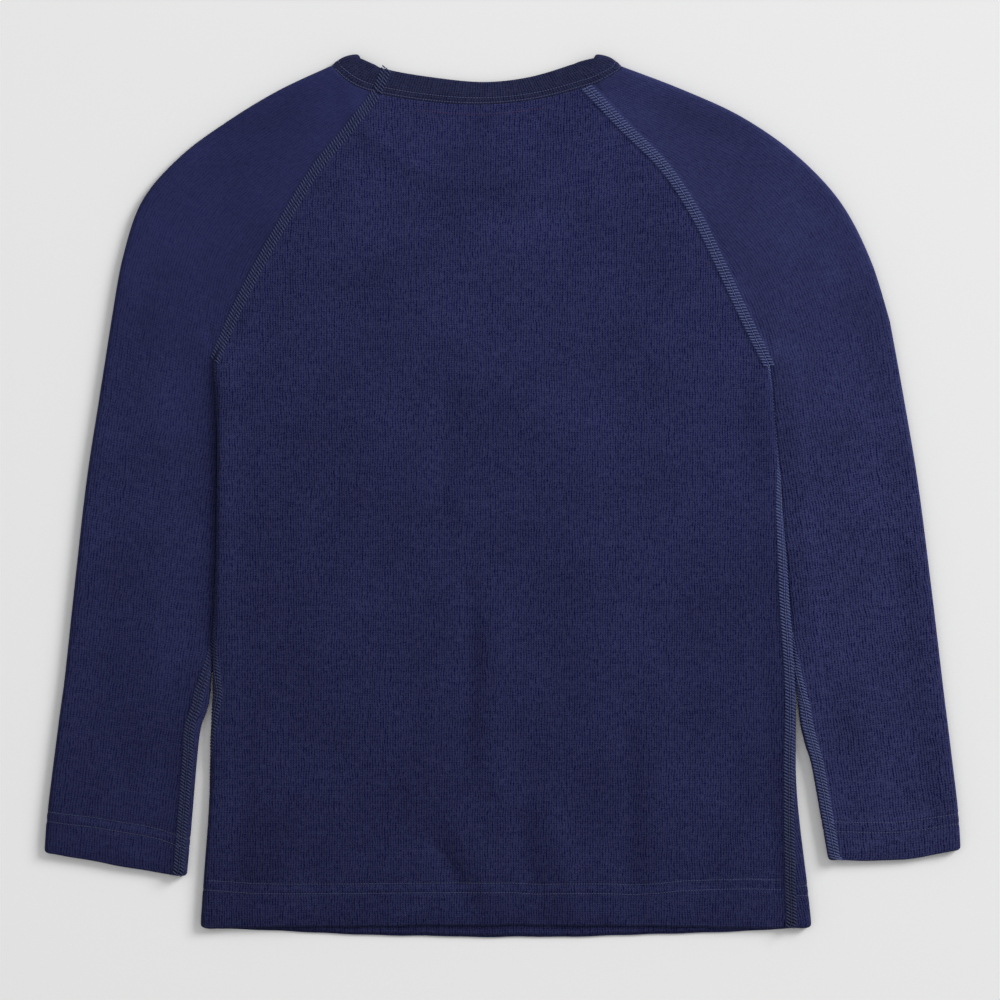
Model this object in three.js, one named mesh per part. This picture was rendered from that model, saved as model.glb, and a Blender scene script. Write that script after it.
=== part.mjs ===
import * as THREE from 'three';

// A child's long-sleeved raglan thermal top in fine navy knit, laid flat with its back up and its front on the floor.
// Millimetres: +X to the right across the back, +Y from the hem to the neck, +Z up, and the floor at z = 0.
// Each piece is one wall of cloth. Where the garment turns from back to front, the cloth goes round a half circle.

// Cloth and how it lies
const CLOTH = 1.2;
const HEM_CLOTH = 2.2;
const BAND_CLOTH = 2.2;
const SEAM_GAP = 0.4;
const FOLD_RADIUS = 2.8;
const LAYERS_TOP = 4.0;
const HEM_LIFT = 1.0;
const BAND_LIFT = 0.8;
const SETTLE_WIDTH = 18;

// Turned-up hem and cuffs: full depth, and the width over which the cloth thins to one layer
const HEM_DEPTH = 24;
const HEM_EASE = 6;
const BACK_HEM_BOW = 1.8;
const FRONT_HEM_BOW = -5.2;
const HEM_BOW_FADE = 70;

// Front neckline, an ellipse that the back hides, and the angle where the front raglan seams meet it
const NECK_CENTRE = new THREE.Vector2(-15.1, 249.0);
const NECK_HALF_WIDTH = 83.5;
const NECK_DEPTH = 74.8;
const NECK_SEAM_ANGLE = THREE.MathUtils.degToRad(22);
const NECK_HOLE_SAG = 1.5;
const NECK_BAND_PRINT = 0.7;
const BAND_WIDTH = 13;
const BAND_EDGE_EASE = 0.4;

// Grid of the walls: stations round each piece, and the spacing of stations at a bend and on the flat
const BEND_STEP = 1.6;
const FLAT_REACH = 24;
const BACK_GRID = { columns: 36, flatStep: 12 };
const FRONT_GRID = { columns: 24, flatStep: 24 };
const SLEEVE_GRID = { columns: 26, flatStep: 16 };
const BODY_STEPS = [3, 3, 3, 3, 3, 3, 3];
const SLEEVE_STEPS = [3, 2, 1, 2, 3, 2, 2, 2];
const RAGLAN_STEPS = 8;
const BAND_FOLD_STEPS = 5;
const BAND_ACROSS = [0, 0.15, 0.85, 1];

// Each side of the top, as distances out from the middle line and up from the middle of its length.
// body: its side edge from the hem to the armpit, and how far the side seam lies in from that edge over the back.
// sleeve: its inner and outer edges from the cuff to the armpit, and how far its seam lies in from the inner edge.
// raglan: back seam, shoulder edge and front seam from the armpit to the neck.
const LEFT = {
  sign: -1,
  cuffBow: 0,
  body: [
    { out: 175.4, up: -250.1, seam: -9 },
    { out: 173.8, up: -226, seam: -6 },
    { out: 169.9, up: -170, seam: -4 },
    { out: 168.1, up: -115, seam: 4.5 },
    { out: 166.8, up: -60, seam: -3.5 },
    { out: 166.0, up: -5, seam: -5 },
    { out: 165.8, up: 40, seam: -4.5 },
    { out: 167.0, up: 77.6, seam: 0 },
  ],
  sleeve: [
    { innerOut: 182.9, innerUp: -220.8, outerOut: 265.8, outerUp: -207.2, seam: 6.3 },
    { innerOut: 180.7, innerUp: -197, outerOut: 263.9, outerUp: -183, seam: 6.7 },
    { innerOut: 177.0, innerUp: -153, outerOut: 258.7, outerUp: -141, seam: 6.8 },
    { innerOut: 174.6, innerUp: -134, outerOut: 256.2, outerUp: -122, seam: 8 },
    { innerOut: 169.4, innerUp: -115, outerOut: 253.7, outerUp: -103, seam: 8 },
    { innerOut: 166.9, innerUp: -60, outerOut: 247.8, outerUp: -48, seam: -4.5 },
    { innerOut: 166.1, innerUp: -5, outerOut: 241.4, outerUp: 8, seam: -5 },
    { innerOut: 165.9, innerUp: 40, outerOut: 234.2, outerUp: 55, seam: -4.5 },
    { innerOut: 167.0, innerUp: 77.6, outerOut: 226.4, outerUp: 104.8, seam: 0 },
  ],
  raglan: [
    { backOut: 167.0, backUp: 77.6, edgeOut: 226.4, edgeUp: 104.8, frontOut: 167.0, frontUp: 77.6 },
    { backOut: 154.7, backUp: 106.6, edgeOut: 220.2, edgeUp: 138.5, frontOut: 158.0, frontUp: 104 },
    { backOut: 140.6, backUp: 134.6, edgeOut: 209.0, edgeUp: 170.9, frontOut: 146.5, frontUp: 129 },
    { backOut: 124.9, backUp: 162.2, edgeOut: 186.8, edgeUp: 196.7, frontOut: 134.0, frontUp: 152.5 },
    { backOut: 108.2, backUp: 189.2, edgeOut: 159.2, edgeUp: 217.2, frontOut: 120.5, frontUp: 176 },
    { backOut: 88.8, backUp: 212.8, edgeOut: 129.8, edgeUp: 235.0, frontOut: 106.5, frontUp: 199 },
    { backOut: 73.0, backUp: 233.1, edgeOut: 98.9, edgeUp: 249.4, frontOut: 92.5, frontUp: 221 },
  ],
};
const RIGHT = {
  sign: 1,
  cuffBow: 3,
  body: [
    { out: 179.0, up: -250.1, seam: 13.6 },
    { out: 176.5, up: -226, seam: 11.7 },
    { out: 170.3, up: -170, seam: 6.1 },
    { out: 169.7, up: -115, seam: 4.9 },
    { out: 166.0, up: -60, seam: 4.6 },
    { out: 161.3, up: -5, seam: 2 },
    { out: 157.6, up: 40, seam: -3.5 },
    { out: 154.3, up: 74.7, seam: 0 },
  ],
  sleeve: [
    { innerOut: 188.5, innerUp: -211.6, outerOut: 265.3, outerUp: -205.3, seam: 5.3 },
    { innerOut: 184.4, innerUp: -189, outerOut: 263.7, outerUp: -181.5, seam: 5.5 },
    { innerOut: 178.4, innerUp: -156, outerOut: 259.6, outerUp: -147, seam: 5.5 },
    { innerOut: 174.2, innerUp: -142, outerOut: 257.9, outerUp: -133, seam: 6 },
    { innerOut: 170.7, innerUp: -122, outerOut: 255.4, outerUp: -113, seam: 5.5 },
    { innerOut: 166.2, innerUp: -60, outerOut: 247.9, outerUp: -50, seam: -3.5 },
    { innerOut: 161.4, innerUp: -5, outerOut: 240.6, outerUp: 7, seam: -5 },
    { innerOut: 157.7, innerUp: 40, outerOut: 232.8, outerUp: 54, seam: -4.5 },
    { innerOut: 154.3, innerUp: 74.7, outerOut: 224.3, outerUp: 101, seam: 0 },
  ],
  raglan: [
    { backOut: 154.3, backUp: 74.7, edgeOut: 224.3, edgeUp: 101, frontOut: 154.3, frontUp: 74.7 },
    { backOut: 139.8, backUp: 104.2, edgeOut: 212.9, edgeUp: 137.1, frontOut: 143.5, frontUp: 101 },
    { backOut: 126.0, backUp: 133.8, edgeOut: 195.4, edgeUp: 170.4, frontOut: 129.5, frontUp: 126.5 },
    { backOut: 111.4, backUp: 163.4, edgeOut: 169.4, edgeUp: 197.9, frontOut: 114.5, frontUp: 151 },
    { backOut: 93.2, backUp: 190.7, edgeOut: 138.2, edgeUp: 219.6, frontOut: 98.0, frontUp: 175 },
    { backOut: 70.6, backUp: 213.2, edgeOut: 103.9, edgeUp: 235.4, frontOut: 80.5, frontUp: 198.5 },
    { backOut: 48.0, backUp: 236.8, edgeOut: 68.5, edgeUp: 248.9, frontOut: 62.3, frontUp: 221 },
  ],
};

// Back neckline from the left shoulder edge to the right one: the seam line, and the free edge of the neckband
const BACK_NECK = [
  { seamX: -98.9, seamY: 249.4, freeX: -83.6, freeY: 255.8 },
  { seamX: -88.9, seamY: 239.9, freeX: -75.4, freeY: 251.2 },
  { seamX: -73.0, seamY: 233.1, freeX: -67.0, freeY: 246.9 },
  { seamX: -42.5, seamY: 228.2, freeX: -38.5, freeY: 242.1 },
  { seamX: -12, seamY: 226.7, freeX: -11, freeY: 239.7 },
  { seamX: 19, seamY: 229.6, freeX: 14, freeY: 242.3 },
  { seamX: 48.0, seamY: 236.8, freeX: 37.5, freeY: 249.0 },
  { seamX: 58.5, seamY: 241.8, freeX: 45.5, freeY: 252.8 },
  { seamX: 68.5, seamY: 248.9, freeX: 53.8, freeY: 255.8 },
];

// Soft folds of the upper layer, each along a line, with its half width and how far it lifts or sinks the cloth
const SOFT_FOLDS = [
  { fromX: -20, fromY: -53, toX: -22, toY: -156, width: 7, lift: -0.9 },
  { fromX: -4, fromY: -70, toX: -4, toY: -165, width: 9, lift: 1.1 },
  { fromX: -38, fromY: -80, toX: -42, toY: -150, width: 10, lift: 0.8 },
  { fromX: -42, fromY: -200, toX: -20, toY: -240, width: 7, lift: -0.8 },
  { fromX: -28, fromY: -186, toX: -6, toY: -236, width: 9, lift: 1.0 },
  { fromX: 11, fromY: -190, toX: 23, toY: -244, width: 7, lift: -0.8 },
  { fromX: 26, fromY: -180, toX: 40, toY: -238, width: 9, lift: 1.0 },
  { fromX: 72, fromY: -140, toX: 72, toY: -242, width: 8, lift: -0.9 },
  { fromX: 90, fromY: -120, toX: 94, toY: -236, width: 12, lift: 1.1 },
  { fromX: 155, fromY: -118, toX: 158, toY: -245, width: 7, lift: -0.7 },
  { fromX: 178, fromY: 147, toX: 144, toY: 121, width: 8, lift: -0.9 },
  { fromX: 184, fromY: 128, toX: 158, toY: 104, width: 10, lift: 1.0 },
  { fromX: -133, fromY: 106, toX: -141, toY: 94, width: 9, lift: -0.9 },
  { fromX: -33, fromY: 58, toX: -34, toY: -18, width: 9, lift: -0.6 },
  { fromX: -70, fromY: 160, toX: 41, toY: 161, width: 11, lift: -0.6 },
];

const COLOURS = { cloth: '#272a49', band: '#2b2f50' };

const { lerp, smoothstep, clamp } = THREE.MathUtils;

// Lines read from the tables
function lineOf(rows, sign, outKey, upKey) {
  return new THREE.SplineCurve(rows.map((row) => new THREE.Vector2(sign * row[outKey], row[upKey])));
}

function valueAlong(rows, key, share) {
  const place = clamp(share, 0, 1) * (rows.length - 1);
  const index = Math.min(Math.floor(place), rows.length - 2);
  return lerp(rows[index][key], rows[index + 1][key], place - index);
}

function outwardNormal(line, share, sign) {
  const tangent = line.getTangent(share);
  return new THREE.Vector2(sign * tangent.y, -sign * tangent.x);
}

function shifted(point, direction, distance) {
  return point.clone().addScaledVector(direction, distance);
}

// Shares of a line of table rows, with so many steps in each stretch between two rows
function sharesOf(steps) {
  const shares = [0];
  steps.forEach((count, stretch) => {
    for (let step = 1; step <= count; step++) shares.push((stretch + step / count) / steps.length);
  });
  return shares;
}

function distanceTo(points, x, y) {
  let nearest = Infinity;
  for (let i = 1; i < points.length; i++) {
    const a = points[i - 1];
    const b = points[i];
    const along = clamp(((x - a.x) * (b.x - a.x) + (y - a.y) * (b.y - a.y)) / a.distanceToSquared(b), 0, 1);
    nearest = Math.min(nearest, Math.hypot(x - lerp(a.x, b.x, along), y - lerp(a.y, b.y, along)));
  }
  return nearest;
}

// Height of the upper layer's outer face
function softFolds(x, y) {
  let lift = 0;
  for (const fold of SOFT_FOLDS) {
    const line = [new THREE.Vector2(fold.fromX, fold.fromY), new THREE.Vector2(fold.toX, fold.toY)];
    lift += fold.lift * Math.exp(-((distanceTo(line, x, y) / fold.width) ** 2));
  }
  return lift;
}

// The upper layer sinks over the neck hole of the front and rides up over the front's neckband
function neckRelief(x, y) {
  const radius = Math.hypot((x - NECK_CENTRE.x) / NECK_HALF_WIDTH, (y - NECK_CENTRE.y) / NECK_DEPTH);
  const seam = 1 - BAND_WIDTH / (2 * NECK_DEPTH);
  const sag = NECK_HOLE_SAG * (1 - smoothstep(radius, 0.45, 0.85));
  return NECK_BAND_PRINT * Math.exp(-(((radius - seam) / 0.1) ** 2)) - sag;
}

function layersTop(x, y, turnedUp) {
  const folds = softFolds(x, y);
  const heldFolds = folds < 0 ? folds * (1 - 0.75 * turnedUp) : folds;
  return LAYERS_TOP + HEM_LIFT * turnedUp + heldFolds + neckRelief(x, y);
}

// Near a fold's edge the upper layer rises to the height of the fold
function settled(height, edgeDistance) {
  const share = smoothstep(edgeDistance, FOLD_RADIUS, FOLD_RADIUS + SETTLE_WIDTH);
  return lerp(2 * FOLD_RADIUS, height, share);
}

// Stretches that a track round the cloth is laid from. A place on one has its point and its outward normal.
function bend(centre, outward, fromAngle, toAngle) {
  return {
    bends: true,
    length: FOLD_RADIUS * Math.abs(toAngle - fromAngle),
    at(share) {
      const angle = lerp(fromAngle, toAngle, share);
      const flat = outward.clone().multiplyScalar(Math.cos(angle));
      const normal = new THREE.Vector3(flat.x, flat.y, Math.sin(angle));
      const middle = new THREE.Vector3(centre.x, centre.y, FOLD_RADIUS);
      return { point: middle.addScaledVector(normal, FOLD_RADIUS), normal };
    },
  };
}

function flatStretch(from, to, bow, heightAt) {
  return {
    bends: false,
    length: from.distanceTo(to),
    at(share) {
      const place = from.clone().lerp(to, share).add(bow(share));
      if (!heightAt) {
        return { point: new THREE.Vector3(place.x, place.y, 0), normal: new THREE.Vector3(0, 0, -1) };
      }
      const slopeX = (heightAt(place.x + 1, place.y) - heightAt(place.x - 1, place.y)) / 2;
      const slopeY = (heightAt(place.x, place.y + 1) - heightAt(place.x, place.y - 1)) / 2;
      return {
        point: new THREE.Vector3(place.x, place.y, heightAt(place.x, place.y)),
        normal: new THREE.Vector3(-slopeX, -slopeY, 1).normalize(),
      };
    },
  };
}

function trackLength(track) {
  return track.reduce((sum, stretch) => sum + stretch.length, 0);
}

function placeOn(track, distance) {
  const whole = trackLength(track);
  let rest = distance < 0 ? distance + whole : distance > whole ? distance - whole : distance;
  for (const stretch of track) {
    if (rest <= stretch.length || stretch === track[track.length - 1]) return stretch.at(rest / stretch.length);
    rest -= stretch.length;
  }
  return null;
}

// Stations along a track, close together at its bends and wide apart on the flat
function bendRanges(track, from, to) {
  const whole = trackLength(track);
  const ranges = [[from, from], [to, to]];
  let start = 0;
  for (const stretch of track) {
    const end = start + stretch.length;
    if (stretch.bends) ranges.push([start, end], [start - whole, end - whole], [start + whole, end + whole]);
    start = end;
  }
  return ranges;
}

function stations(track, from, to, grid) {
  const samples = 300;
  const ranges = bendRanges(track, from, to);
  const sums = [0];
  for (let i = 1; i <= samples; i++) {
    const place = lerp(from, to, (i - 0.5) / samples);
    const away = Math.min(...ranges.map(([start, end]) => Math.max(start - place, place - end, 0)));
    sums.push(sums[i - 1] + 1 / lerp(BEND_STEP, grid.flatStep, Math.min(1, away / FLAT_REACH)));
  }
  const places = [];
  for (let column = 0, i = 0; column <= grid.columns; column++) {
    const wanted = (sums[samples] * column) / grid.columns;
    while (i < samples - 1 && sums[i + 1] < wanted) i++;
    places.push(lerp(from, to, (i + (wanted - sums[i]) / (sums[i + 1] - sums[i])) / samples));
  }
  return places;
}

// One row of a wall: its outer points, and its inner points one thickness in
function wallRow(track, from, to, grid, thickness) {
  return stations(track, from, to, grid).map((distance) => {
    const { point, normal } = placeOn(track, distance);
    return { outer: point, inner: point.clone().addScaledVector(normal, -thickness) };
  });
}

// A closed wall from rows of outer and inner points. Columns run so that across x up faces outwards.
// Both edges of a seam split their end faces the same way, so that they stay parallel where the seam turns.
function wallGeometry(rows, ring = false) {
  const columns = rows[0].length;
  const count = rows.length * columns;
  const positions = [];
  for (const side of ['outer', 'inner']) {
    for (const row of rows) {
      for (const place of row) positions.push(...place[side].toArray());
    }
  }
  const at = (row, column) => row * columns + (column % columns);
  const across = ring ? columns : columns - 1;
  const triangles = [];
  for (let row = 0; row < rows.length - 1; row++) {
    for (let column = 0; column < across; column++) {
      const [a, b, c, d] = [at(row, column), at(row, column + 1), at(row + 1, column + 1), at(row + 1, column)];
      triangles.push(a, b, c, a, c, d);
      triangles.push(a + count, c + count, b + count, a + count, d + count, c + count);
    }
  }
  for (const [p, q] of borderPairs(rows.length, columns, at, ring)) {
    const sameSplit = p < q ? [q, p, p + count, q, p + count, q + count] : [q, p, q + count, p, p + count, q + count];
    triangles.push(...sameSplit);
  }
  const geometry = new THREE.BufferGeometry();
  geometry.setAttribute('position', new THREE.Float32BufferAttribute(positions, 3));
  geometry.setIndex(triangles);
  geometry.computeVertexNormals();
  return geometry;
}

function borderPairs(rowCount, columns, at, ring) {
  const top = rowCount - 1;
  const across = ring ? columns : columns - 1;
  const pairs = [];
  for (let column = 0; column < across; column++) {
    pairs.push([at(0, column), at(0, column + 1)]);
    pairs.push([at(top, column + 1), at(top, column)]);
  }
  if (ring) return pairs;
  for (let row = 0; row < top; row++) {
    pairs.push([at(row, columns - 1), at(row + 1, columns - 1)]);
    pairs.push([at(row + 1, 0), at(row, 0)]);
  }
  return pairs;
}

// How much of a turned-up hem lies at a distance from its edge, from 1 in the hem to 0 above it
function turnedUpAt(distance) {
  return 1 - smoothstep(distance, HEM_DEPTH - HEM_EASE, HEM_DEPTH);
}

// The lines of one side, with the edge points near which the cloth rises to its folds
function sideLines(side) {
  const lines = {
    body: lineOf(side.body, side.sign, 'out', 'up'),
    inner: lineOf(side.sleeve, side.sign, 'innerOut', 'innerUp'),
    outer: lineOf(side.sleeve, side.sign, 'outerOut', 'outerUp'),
    back: lineOf(side.raglan, side.sign, 'backOut', 'backUp'),
    shoulder: lineOf(side.raglan, side.sign, 'edgeOut', 'edgeUp'),
    front: lineOf(side.raglan, side.sign, 'frontOut', 'frontUp'),
  };
  const bodyEdge = lines.body.getPoints(30);
  const sleeveEdges = [lines.inner, lines.outer, lines.shoulder].map((line) => line.getPoints(30));
  return { side, lines, bodyEdge, sleeveEdges };
}

const leftSide = sideLines(LEFT);
const rightSide = sideLines(RIGHT);

// Where a fold's half circle has its centre line, and the way it faces
function foldAt(line, share, sign) {
  const outward = outwardNormal(line, share, sign);
  return { outward, centre: shifted(line.getPoint(share), outward, -(FOLD_RADIUS + SEAM_GAP / 2)) };
}

// Necklines: points from one place to another that bow as their curve does
const backNeckSeam = lineOf(BACK_NECK, 1, 'seamX', 'seamY');
const backNeckFree = lineOf(BACK_NECK, 1, 'freeX', 'freeY');

function frontNeck(share) {
  const angle = Math.PI * share;
  return new THREE.Vector2(
    NECK_CENTRE.x - NECK_HALF_WIDTH * Math.cos(angle),
    NECK_CENTRE.y - NECK_DEPTH * Math.sin(angle),
  );
}

function frontNeckFree(share) {
  const [left, right] = [BACK_NECK[0], BACK_NECK[BACK_NECK.length - 1]];
  const angle = Math.PI * share;
  const sink = NECK_DEPTH - BAND_WIDTH + (left.freeY - NECK_CENTRE.y);
  return new THREE.Vector2(
    lerp(left.freeX, right.freeX, (1 - Math.cos(angle)) / 2),
    left.freeY - sink * Math.sin(angle),
  );
}

function bowOf(curve, fromShare, toShare) {
  const start = curve(fromShare);
  const end = curve(toShare);
  return (share) => curve(lerp(fromShare, toShare, share)).sub(start.clone().lerp(end, share));
}

const noBow = () => new THREE.Vector2(0, 0);
const scaledBow = (bow, scale) => (share) => bow(share).multiplyScalar(scale);
const arcBow = (height) => (share) => new THREE.Vector2(0, height * Math.sin(Math.PI * share));

const BACK_SEAM_SHARE = 2 / 8;
const FRONT_SEAM_SHARE = NECK_SEAM_ANGLE / Math.PI;
const backNeckAt = (share) => backNeckSeam.getPoint(share);
const neckBows = {
  back: bowOf(backNeckAt, BACK_SEAM_SHARE, 1 - BACK_SEAM_SHARE),
  front: bowOf(frontNeck, FRONT_SEAM_SHARE, 1 - FRONT_SEAM_SHARE),
  backLeft: bowOf(backNeckAt, BACK_SEAM_SHARE, 0),
  backRight: bowOf(backNeckAt, 1 - BACK_SEAM_SHARE, 1),
  frontLeft: bowOf(frontNeck, 0, FRONT_SEAM_SHARE),
  frontRight: bowOf(frontNeck, 1, 1 - FRONT_SEAM_SHARE),
};

// Body: rings from the hem to the armpits, then rows between the raglan seams up to the neck
function bodyHeight(turnedUp) {
  const edges = [leftSide.bodyEdge, rightSide.bodyEdge];
  return (x, y) => settled(layersTop(x, y, turnedUp), Math.min(...edges.map((edge) => distanceTo(edge, x, y))));
}

function bodyRing(share) {
  const left = foldAt(leftSide.lines.body, share, -1);
  const right = foldAt(rightSide.lines.body, share, 1);
  const height = left.centre.y - leftSide.lines.body.getPoint(0).y;
  const turnedUp = turnedUpAt(height);
  const bowShare = Math.max(0, 1 - height / HEM_BOW_FADE);
  const backBow = arcBow(BACK_HEM_BOW * bowShare);
  const frontBow = arcBow(FRONT_HEM_BOW * bowShare);
  const track = [
    bend(left.centre, left.outward, 0, Math.PI / 2),
    flatStretch(left.centre, right.centre, backBow, bodyHeight(turnedUp)),
    bend(right.centre, right.outward, Math.PI / 2, -Math.PI / 2),
    flatStretch(right.centre, left.centre, frontBow, null),
    bend(left.centre, left.outward, -Math.PI / 2, 0),
  ];
  const rightEdge = track[0].length + track[1].length + track[2].length / 2;
  return {
    track,
    thickness: lerp(CLOTH, HEM_CLOTH, turnedUp),
    leftSeam: valueAlong(LEFT.body, 'seam', share),
    rightSeam: rightEdge - valueAlong(RIGHT.body, 'seam', share),
  };
}

function seamPoint(sideData, lineName, share, towardsSleeve) {
  const line = sideData.lines[lineName];
  const outward = outwardNormal(line, share, sideData.side.sign);
  return shifted(line.getPoint(share), outward, (towardsSleeve * SEAM_GAP) / 2);
}

function raglanShares() {
  return Array.from({ length: RAGLAN_STEPS }, (_, step) => (step + 1) / RAGLAN_STEPS);
}

function wholeRow(track, grid) {
  return wallRow(track, 0, trackLength(track), grid, CLOTH);
}

function backRows() {
  const half = SEAM_GAP / 2;
  const rows = sharesOf(BODY_STEPS).map((share) => {
    const ring = bodyRing(share);
    return wallRow(ring.track, ring.leftSeam + half, ring.rightSeam - half, BACK_GRID, ring.thickness);
  });
  for (const share of raglanShares()) {
    const from = seamPoint(leftSide, 'back', share, -1);
    const to = seamPoint(rightSide, 'back', share, -1);
    const track = [flatStretch(from, to, scaledBow(neckBows.back, share), bodyHeight(0))];
    rows.push(wholeRow(track, BACK_GRID));
  }
  return rows;
}

function frontRows() {
  const half = SEAM_GAP / 2;
  const rows = sharesOf(BODY_STEPS).map((share) => {
    const ring = bodyRing(share);
    const end = trackLength(ring.track) + ring.leftSeam - half;
    return wallRow(ring.track, ring.rightSeam + half, end, FRONT_GRID, ring.thickness);
  });
  for (const share of raglanShares()) {
    const from = seamPoint(rightSide, 'front', share, -1);
    const to = seamPoint(leftSide, 'front', share, -1);
    const bow = (across) => neckBows.front(1 - across).multiplyScalar(share);
    rows.push(wholeRow([flatStretch(from, to, bow, null)], FRONT_GRID));
  }
  return rows;
}

// Sleeve: rings from the cuff to the armpit, then rows from the back seam round the shoulder to the front seam
function sleeveHeight(sideData, turnedUp) {
  const { sleeveEdges } = sideData;
  return (x, y) => {
    const edgeDistance = Math.min(...sleeveEdges.map((edge) => distanceTo(edge, x, y)));
    return settled(layersTop(x, y, turnedUp), edgeDistance);
  };
}

function sleeveRing(sideData, share) {
  const { side, lines } = sideData;
  const inner = foldAt(lines.inner, share, -side.sign);
  const outer = foldAt(lines.outer, share, side.sign);
  const height = lines.inner.getPoint(share).distanceTo(lines.inner.getPoint(0));
  const turnedUp = turnedUpAt(height);
  const bow = arcBow(-side.cuffBow * Math.max(0, 1 - height / HEM_BOW_FADE));
  return {
    thickness: lerp(CLOTH, HEM_CLOTH, turnedUp),
    seam: valueAlong(side.sleeve, 'seam', share),
    track: [
      bend(inner.centre, inner.outward, 0, Math.PI / 2),
      flatStretch(inner.centre, outer.centre, bow, sleeveHeight(sideData, turnedUp)),
      bend(outer.centre, outer.outward, Math.PI / 2, -Math.PI / 2),
      flatStretch(outer.centre, inner.centre, bow, null),
      bend(inner.centre, inner.outward, -Math.PI / 2, 0),
    ],
  };
}

function raglanTrack(sideData, share, topBow, underBow) {
  const fold = foldAt(sideData.lines.shoulder, share, sideData.side.sign);
  const neckShare = share ** 3;
  const under = (across) => underBow(across).multiplyScalar(neckShare);
  return [
    flatStretch(seamPoint(sideData, 'back', share, 1), fold.centre, scaledBow(topBow, neckShare),
      sleeveHeight(sideData, 0)),
    bend(fold.centre, fold.outward, Math.PI / 2, -Math.PI / 2),
    flatStretch(fold.centre, seamPoint(sideData, 'front', share, 1), under, null),
  ];
}

function sleeveRows(sideData, topBow, underBow) {
  const half = SEAM_GAP / 2;
  const rows = sharesOf(SLEEVE_STEPS).map((share) => {
    const ring = sleeveRing(sideData, share);
    const end = trackLength(ring.track) + ring.seam - half;
    return wallRow(ring.track, ring.seam + half, end, SLEEVE_GRID, ring.thickness);
  });
  for (const share of raglanShares()) {
    rows.push(wholeRow(raglanTrack(sideData, share, topBow, underBow), SLEEVE_GRID));
  }
  return sideData.side.sign < 0 ? rows.map((row) => row.reverse()) : rows;
}

// Neckband: stretches round the neck, each with its seam line and its free edge, on the upper or the lower layer
function bandFold(sideData, edgeRow) {
  const { outward, centre } = foldAt(sideData.lines.shoulder, 1, sideData.side.sign);
  const freeEdge = new THREE.Vector2(edgeRow.freeX, edgeRow.freeY);
  const along = freeEdge.clone().sub(sideData.lines.shoulder.getPoint(1)).normalize();
  const facing = new THREE.Vector2(sideData.side.sign * along.y, -sideData.side.sign * along.x);
  return {
    seam: shifted(centre, along, SEAM_GAP),
    free: shifted(freeEdge, facing, -(FOLD_RADIUS + SEAM_GAP / 2)),
    seamFacing: outward,
    freeFacing: facing,
  };
}

function bandStretch(seamFrom, seamTo, seamBow, freeFrom, freeTo, freeBow, steps, onTop) {
  const columns = [];
  for (let step = 0; step < steps; step++) {
    const share = step / steps;
    const seam = seamFrom.clone().lerp(seamTo, share).add(seamBow(share));
    const free = freeFrom.clone().lerp(freeTo, share).add(freeBow(share));
    seam.add(free.clone().sub(seam).setLength(SEAM_GAP));
    columns.push((across) => bandPlace(seam.clone().lerp(free, across), onTop));
  }
  return columns;
}

function bandPlace(place, onTop) {
  if (!onTop) return { point: new THREE.Vector3(place.x, place.y, 0), normal: new THREE.Vector3(0, 0, -1) };
  const edges = [BACK_NECK[0], BACK_NECK[BACK_NECK.length - 1]].map((row) => [
    new THREE.Vector2(row.seamX, row.seamY),
    new THREE.Vector2(row.freeX, row.freeY),
  ]);
  const edgeDistance = Math.min(...edges.map((edge) => distanceTo(edge, place.x, place.y)));
  const height = settled(layersTop(place.x, place.y, 0) + BAND_LIFT, edgeDistance);
  return { point: new THREE.Vector3(place.x, place.y, height), normal: new THREE.Vector3(0, 0, 1) };
}

function bandTurn(fold, fromAngle, toAngle) {
  const columns = [];
  for (let step = 0; step < BAND_FOLD_STEPS; step++) {
    const angle = lerp(fromAngle, toAngle, step / BAND_FOLD_STEPS);
    columns.push((across) => {
      const centre = fold.seam.clone().lerp(fold.free, across);
      const facing = fold.seamFacing.clone().lerp(fold.freeFacing, across).normalize();
      return bend(centre, facing, angle, angle).at(0);
    });
  }
  return columns;
}

function bandRows() {
  const left = bandFold(leftSide, BACK_NECK[0]);
  const right = bandFold(rightSide, BACK_NECK[BACK_NECK.length - 1]);
  const seamAt = (sideData, name) => sideData.lines[name].getPoint(1);
  const freeBack = (share) => backNeckFree.getPoint(share);
  const [a, b] = [BACK_SEAM_SHARE, FRONT_SEAM_SHARE];
  const columns = [
    ...bandStretch(left.seam, seamAt(leftSide, 'back'), bowOf(backNeckAt, 0, a),
      left.free, freeBack(a), bowOf(freeBack, 0, a), 6, true),
    ...bandStretch(seamAt(leftSide, 'back'), seamAt(rightSide, 'back'), neckBows.back,
      freeBack(a), freeBack(1 - a), bowOf(freeBack, a, 1 - a), 14, true),
    ...bandStretch(seamAt(rightSide, 'back'), right.seam, neckBows.backRight,
      freeBack(1 - a), right.free, bowOf(freeBack, 1 - a, 1), 6, true),
    ...bandTurn(right, Math.PI / 2, -Math.PI / 2),
    ...bandStretch(right.seam, seamAt(rightSide, 'front'), neckBows.frontRight,
      right.free, frontNeckFree(1 - b), bowOf(frontNeckFree, 1, 1 - b), 4, false),
    ...bandStretch(seamAt(rightSide, 'front'), seamAt(leftSide, 'front'), bowOf(frontNeck, 1 - b, b),
      frontNeckFree(1 - b), frontNeckFree(b), bowOf(frontNeckFree, 1 - b, b), 18, false),
    ...bandStretch(seamAt(leftSide, 'front'), left.seam, bowOf(frontNeck, b, 0),
      frontNeckFree(b), left.free, bowOf(frontNeckFree, b, 0), 4, false),
    ...bandTurn(left, -Math.PI / 2, Math.PI / 2),
  ];
  return BAND_ACROSS.map((across) => columns.map((column) => {
    const { point, normal } = column(across);
    const ease = across === 0 || across === 1 ? BAND_EDGE_EASE : 0;
    return {
      outer: point.clone().addScaledVector(normal, -ease),
      inner: point.clone().addScaledVector(normal, ease - BAND_CLOTH),
    };
  }));
}

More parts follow.
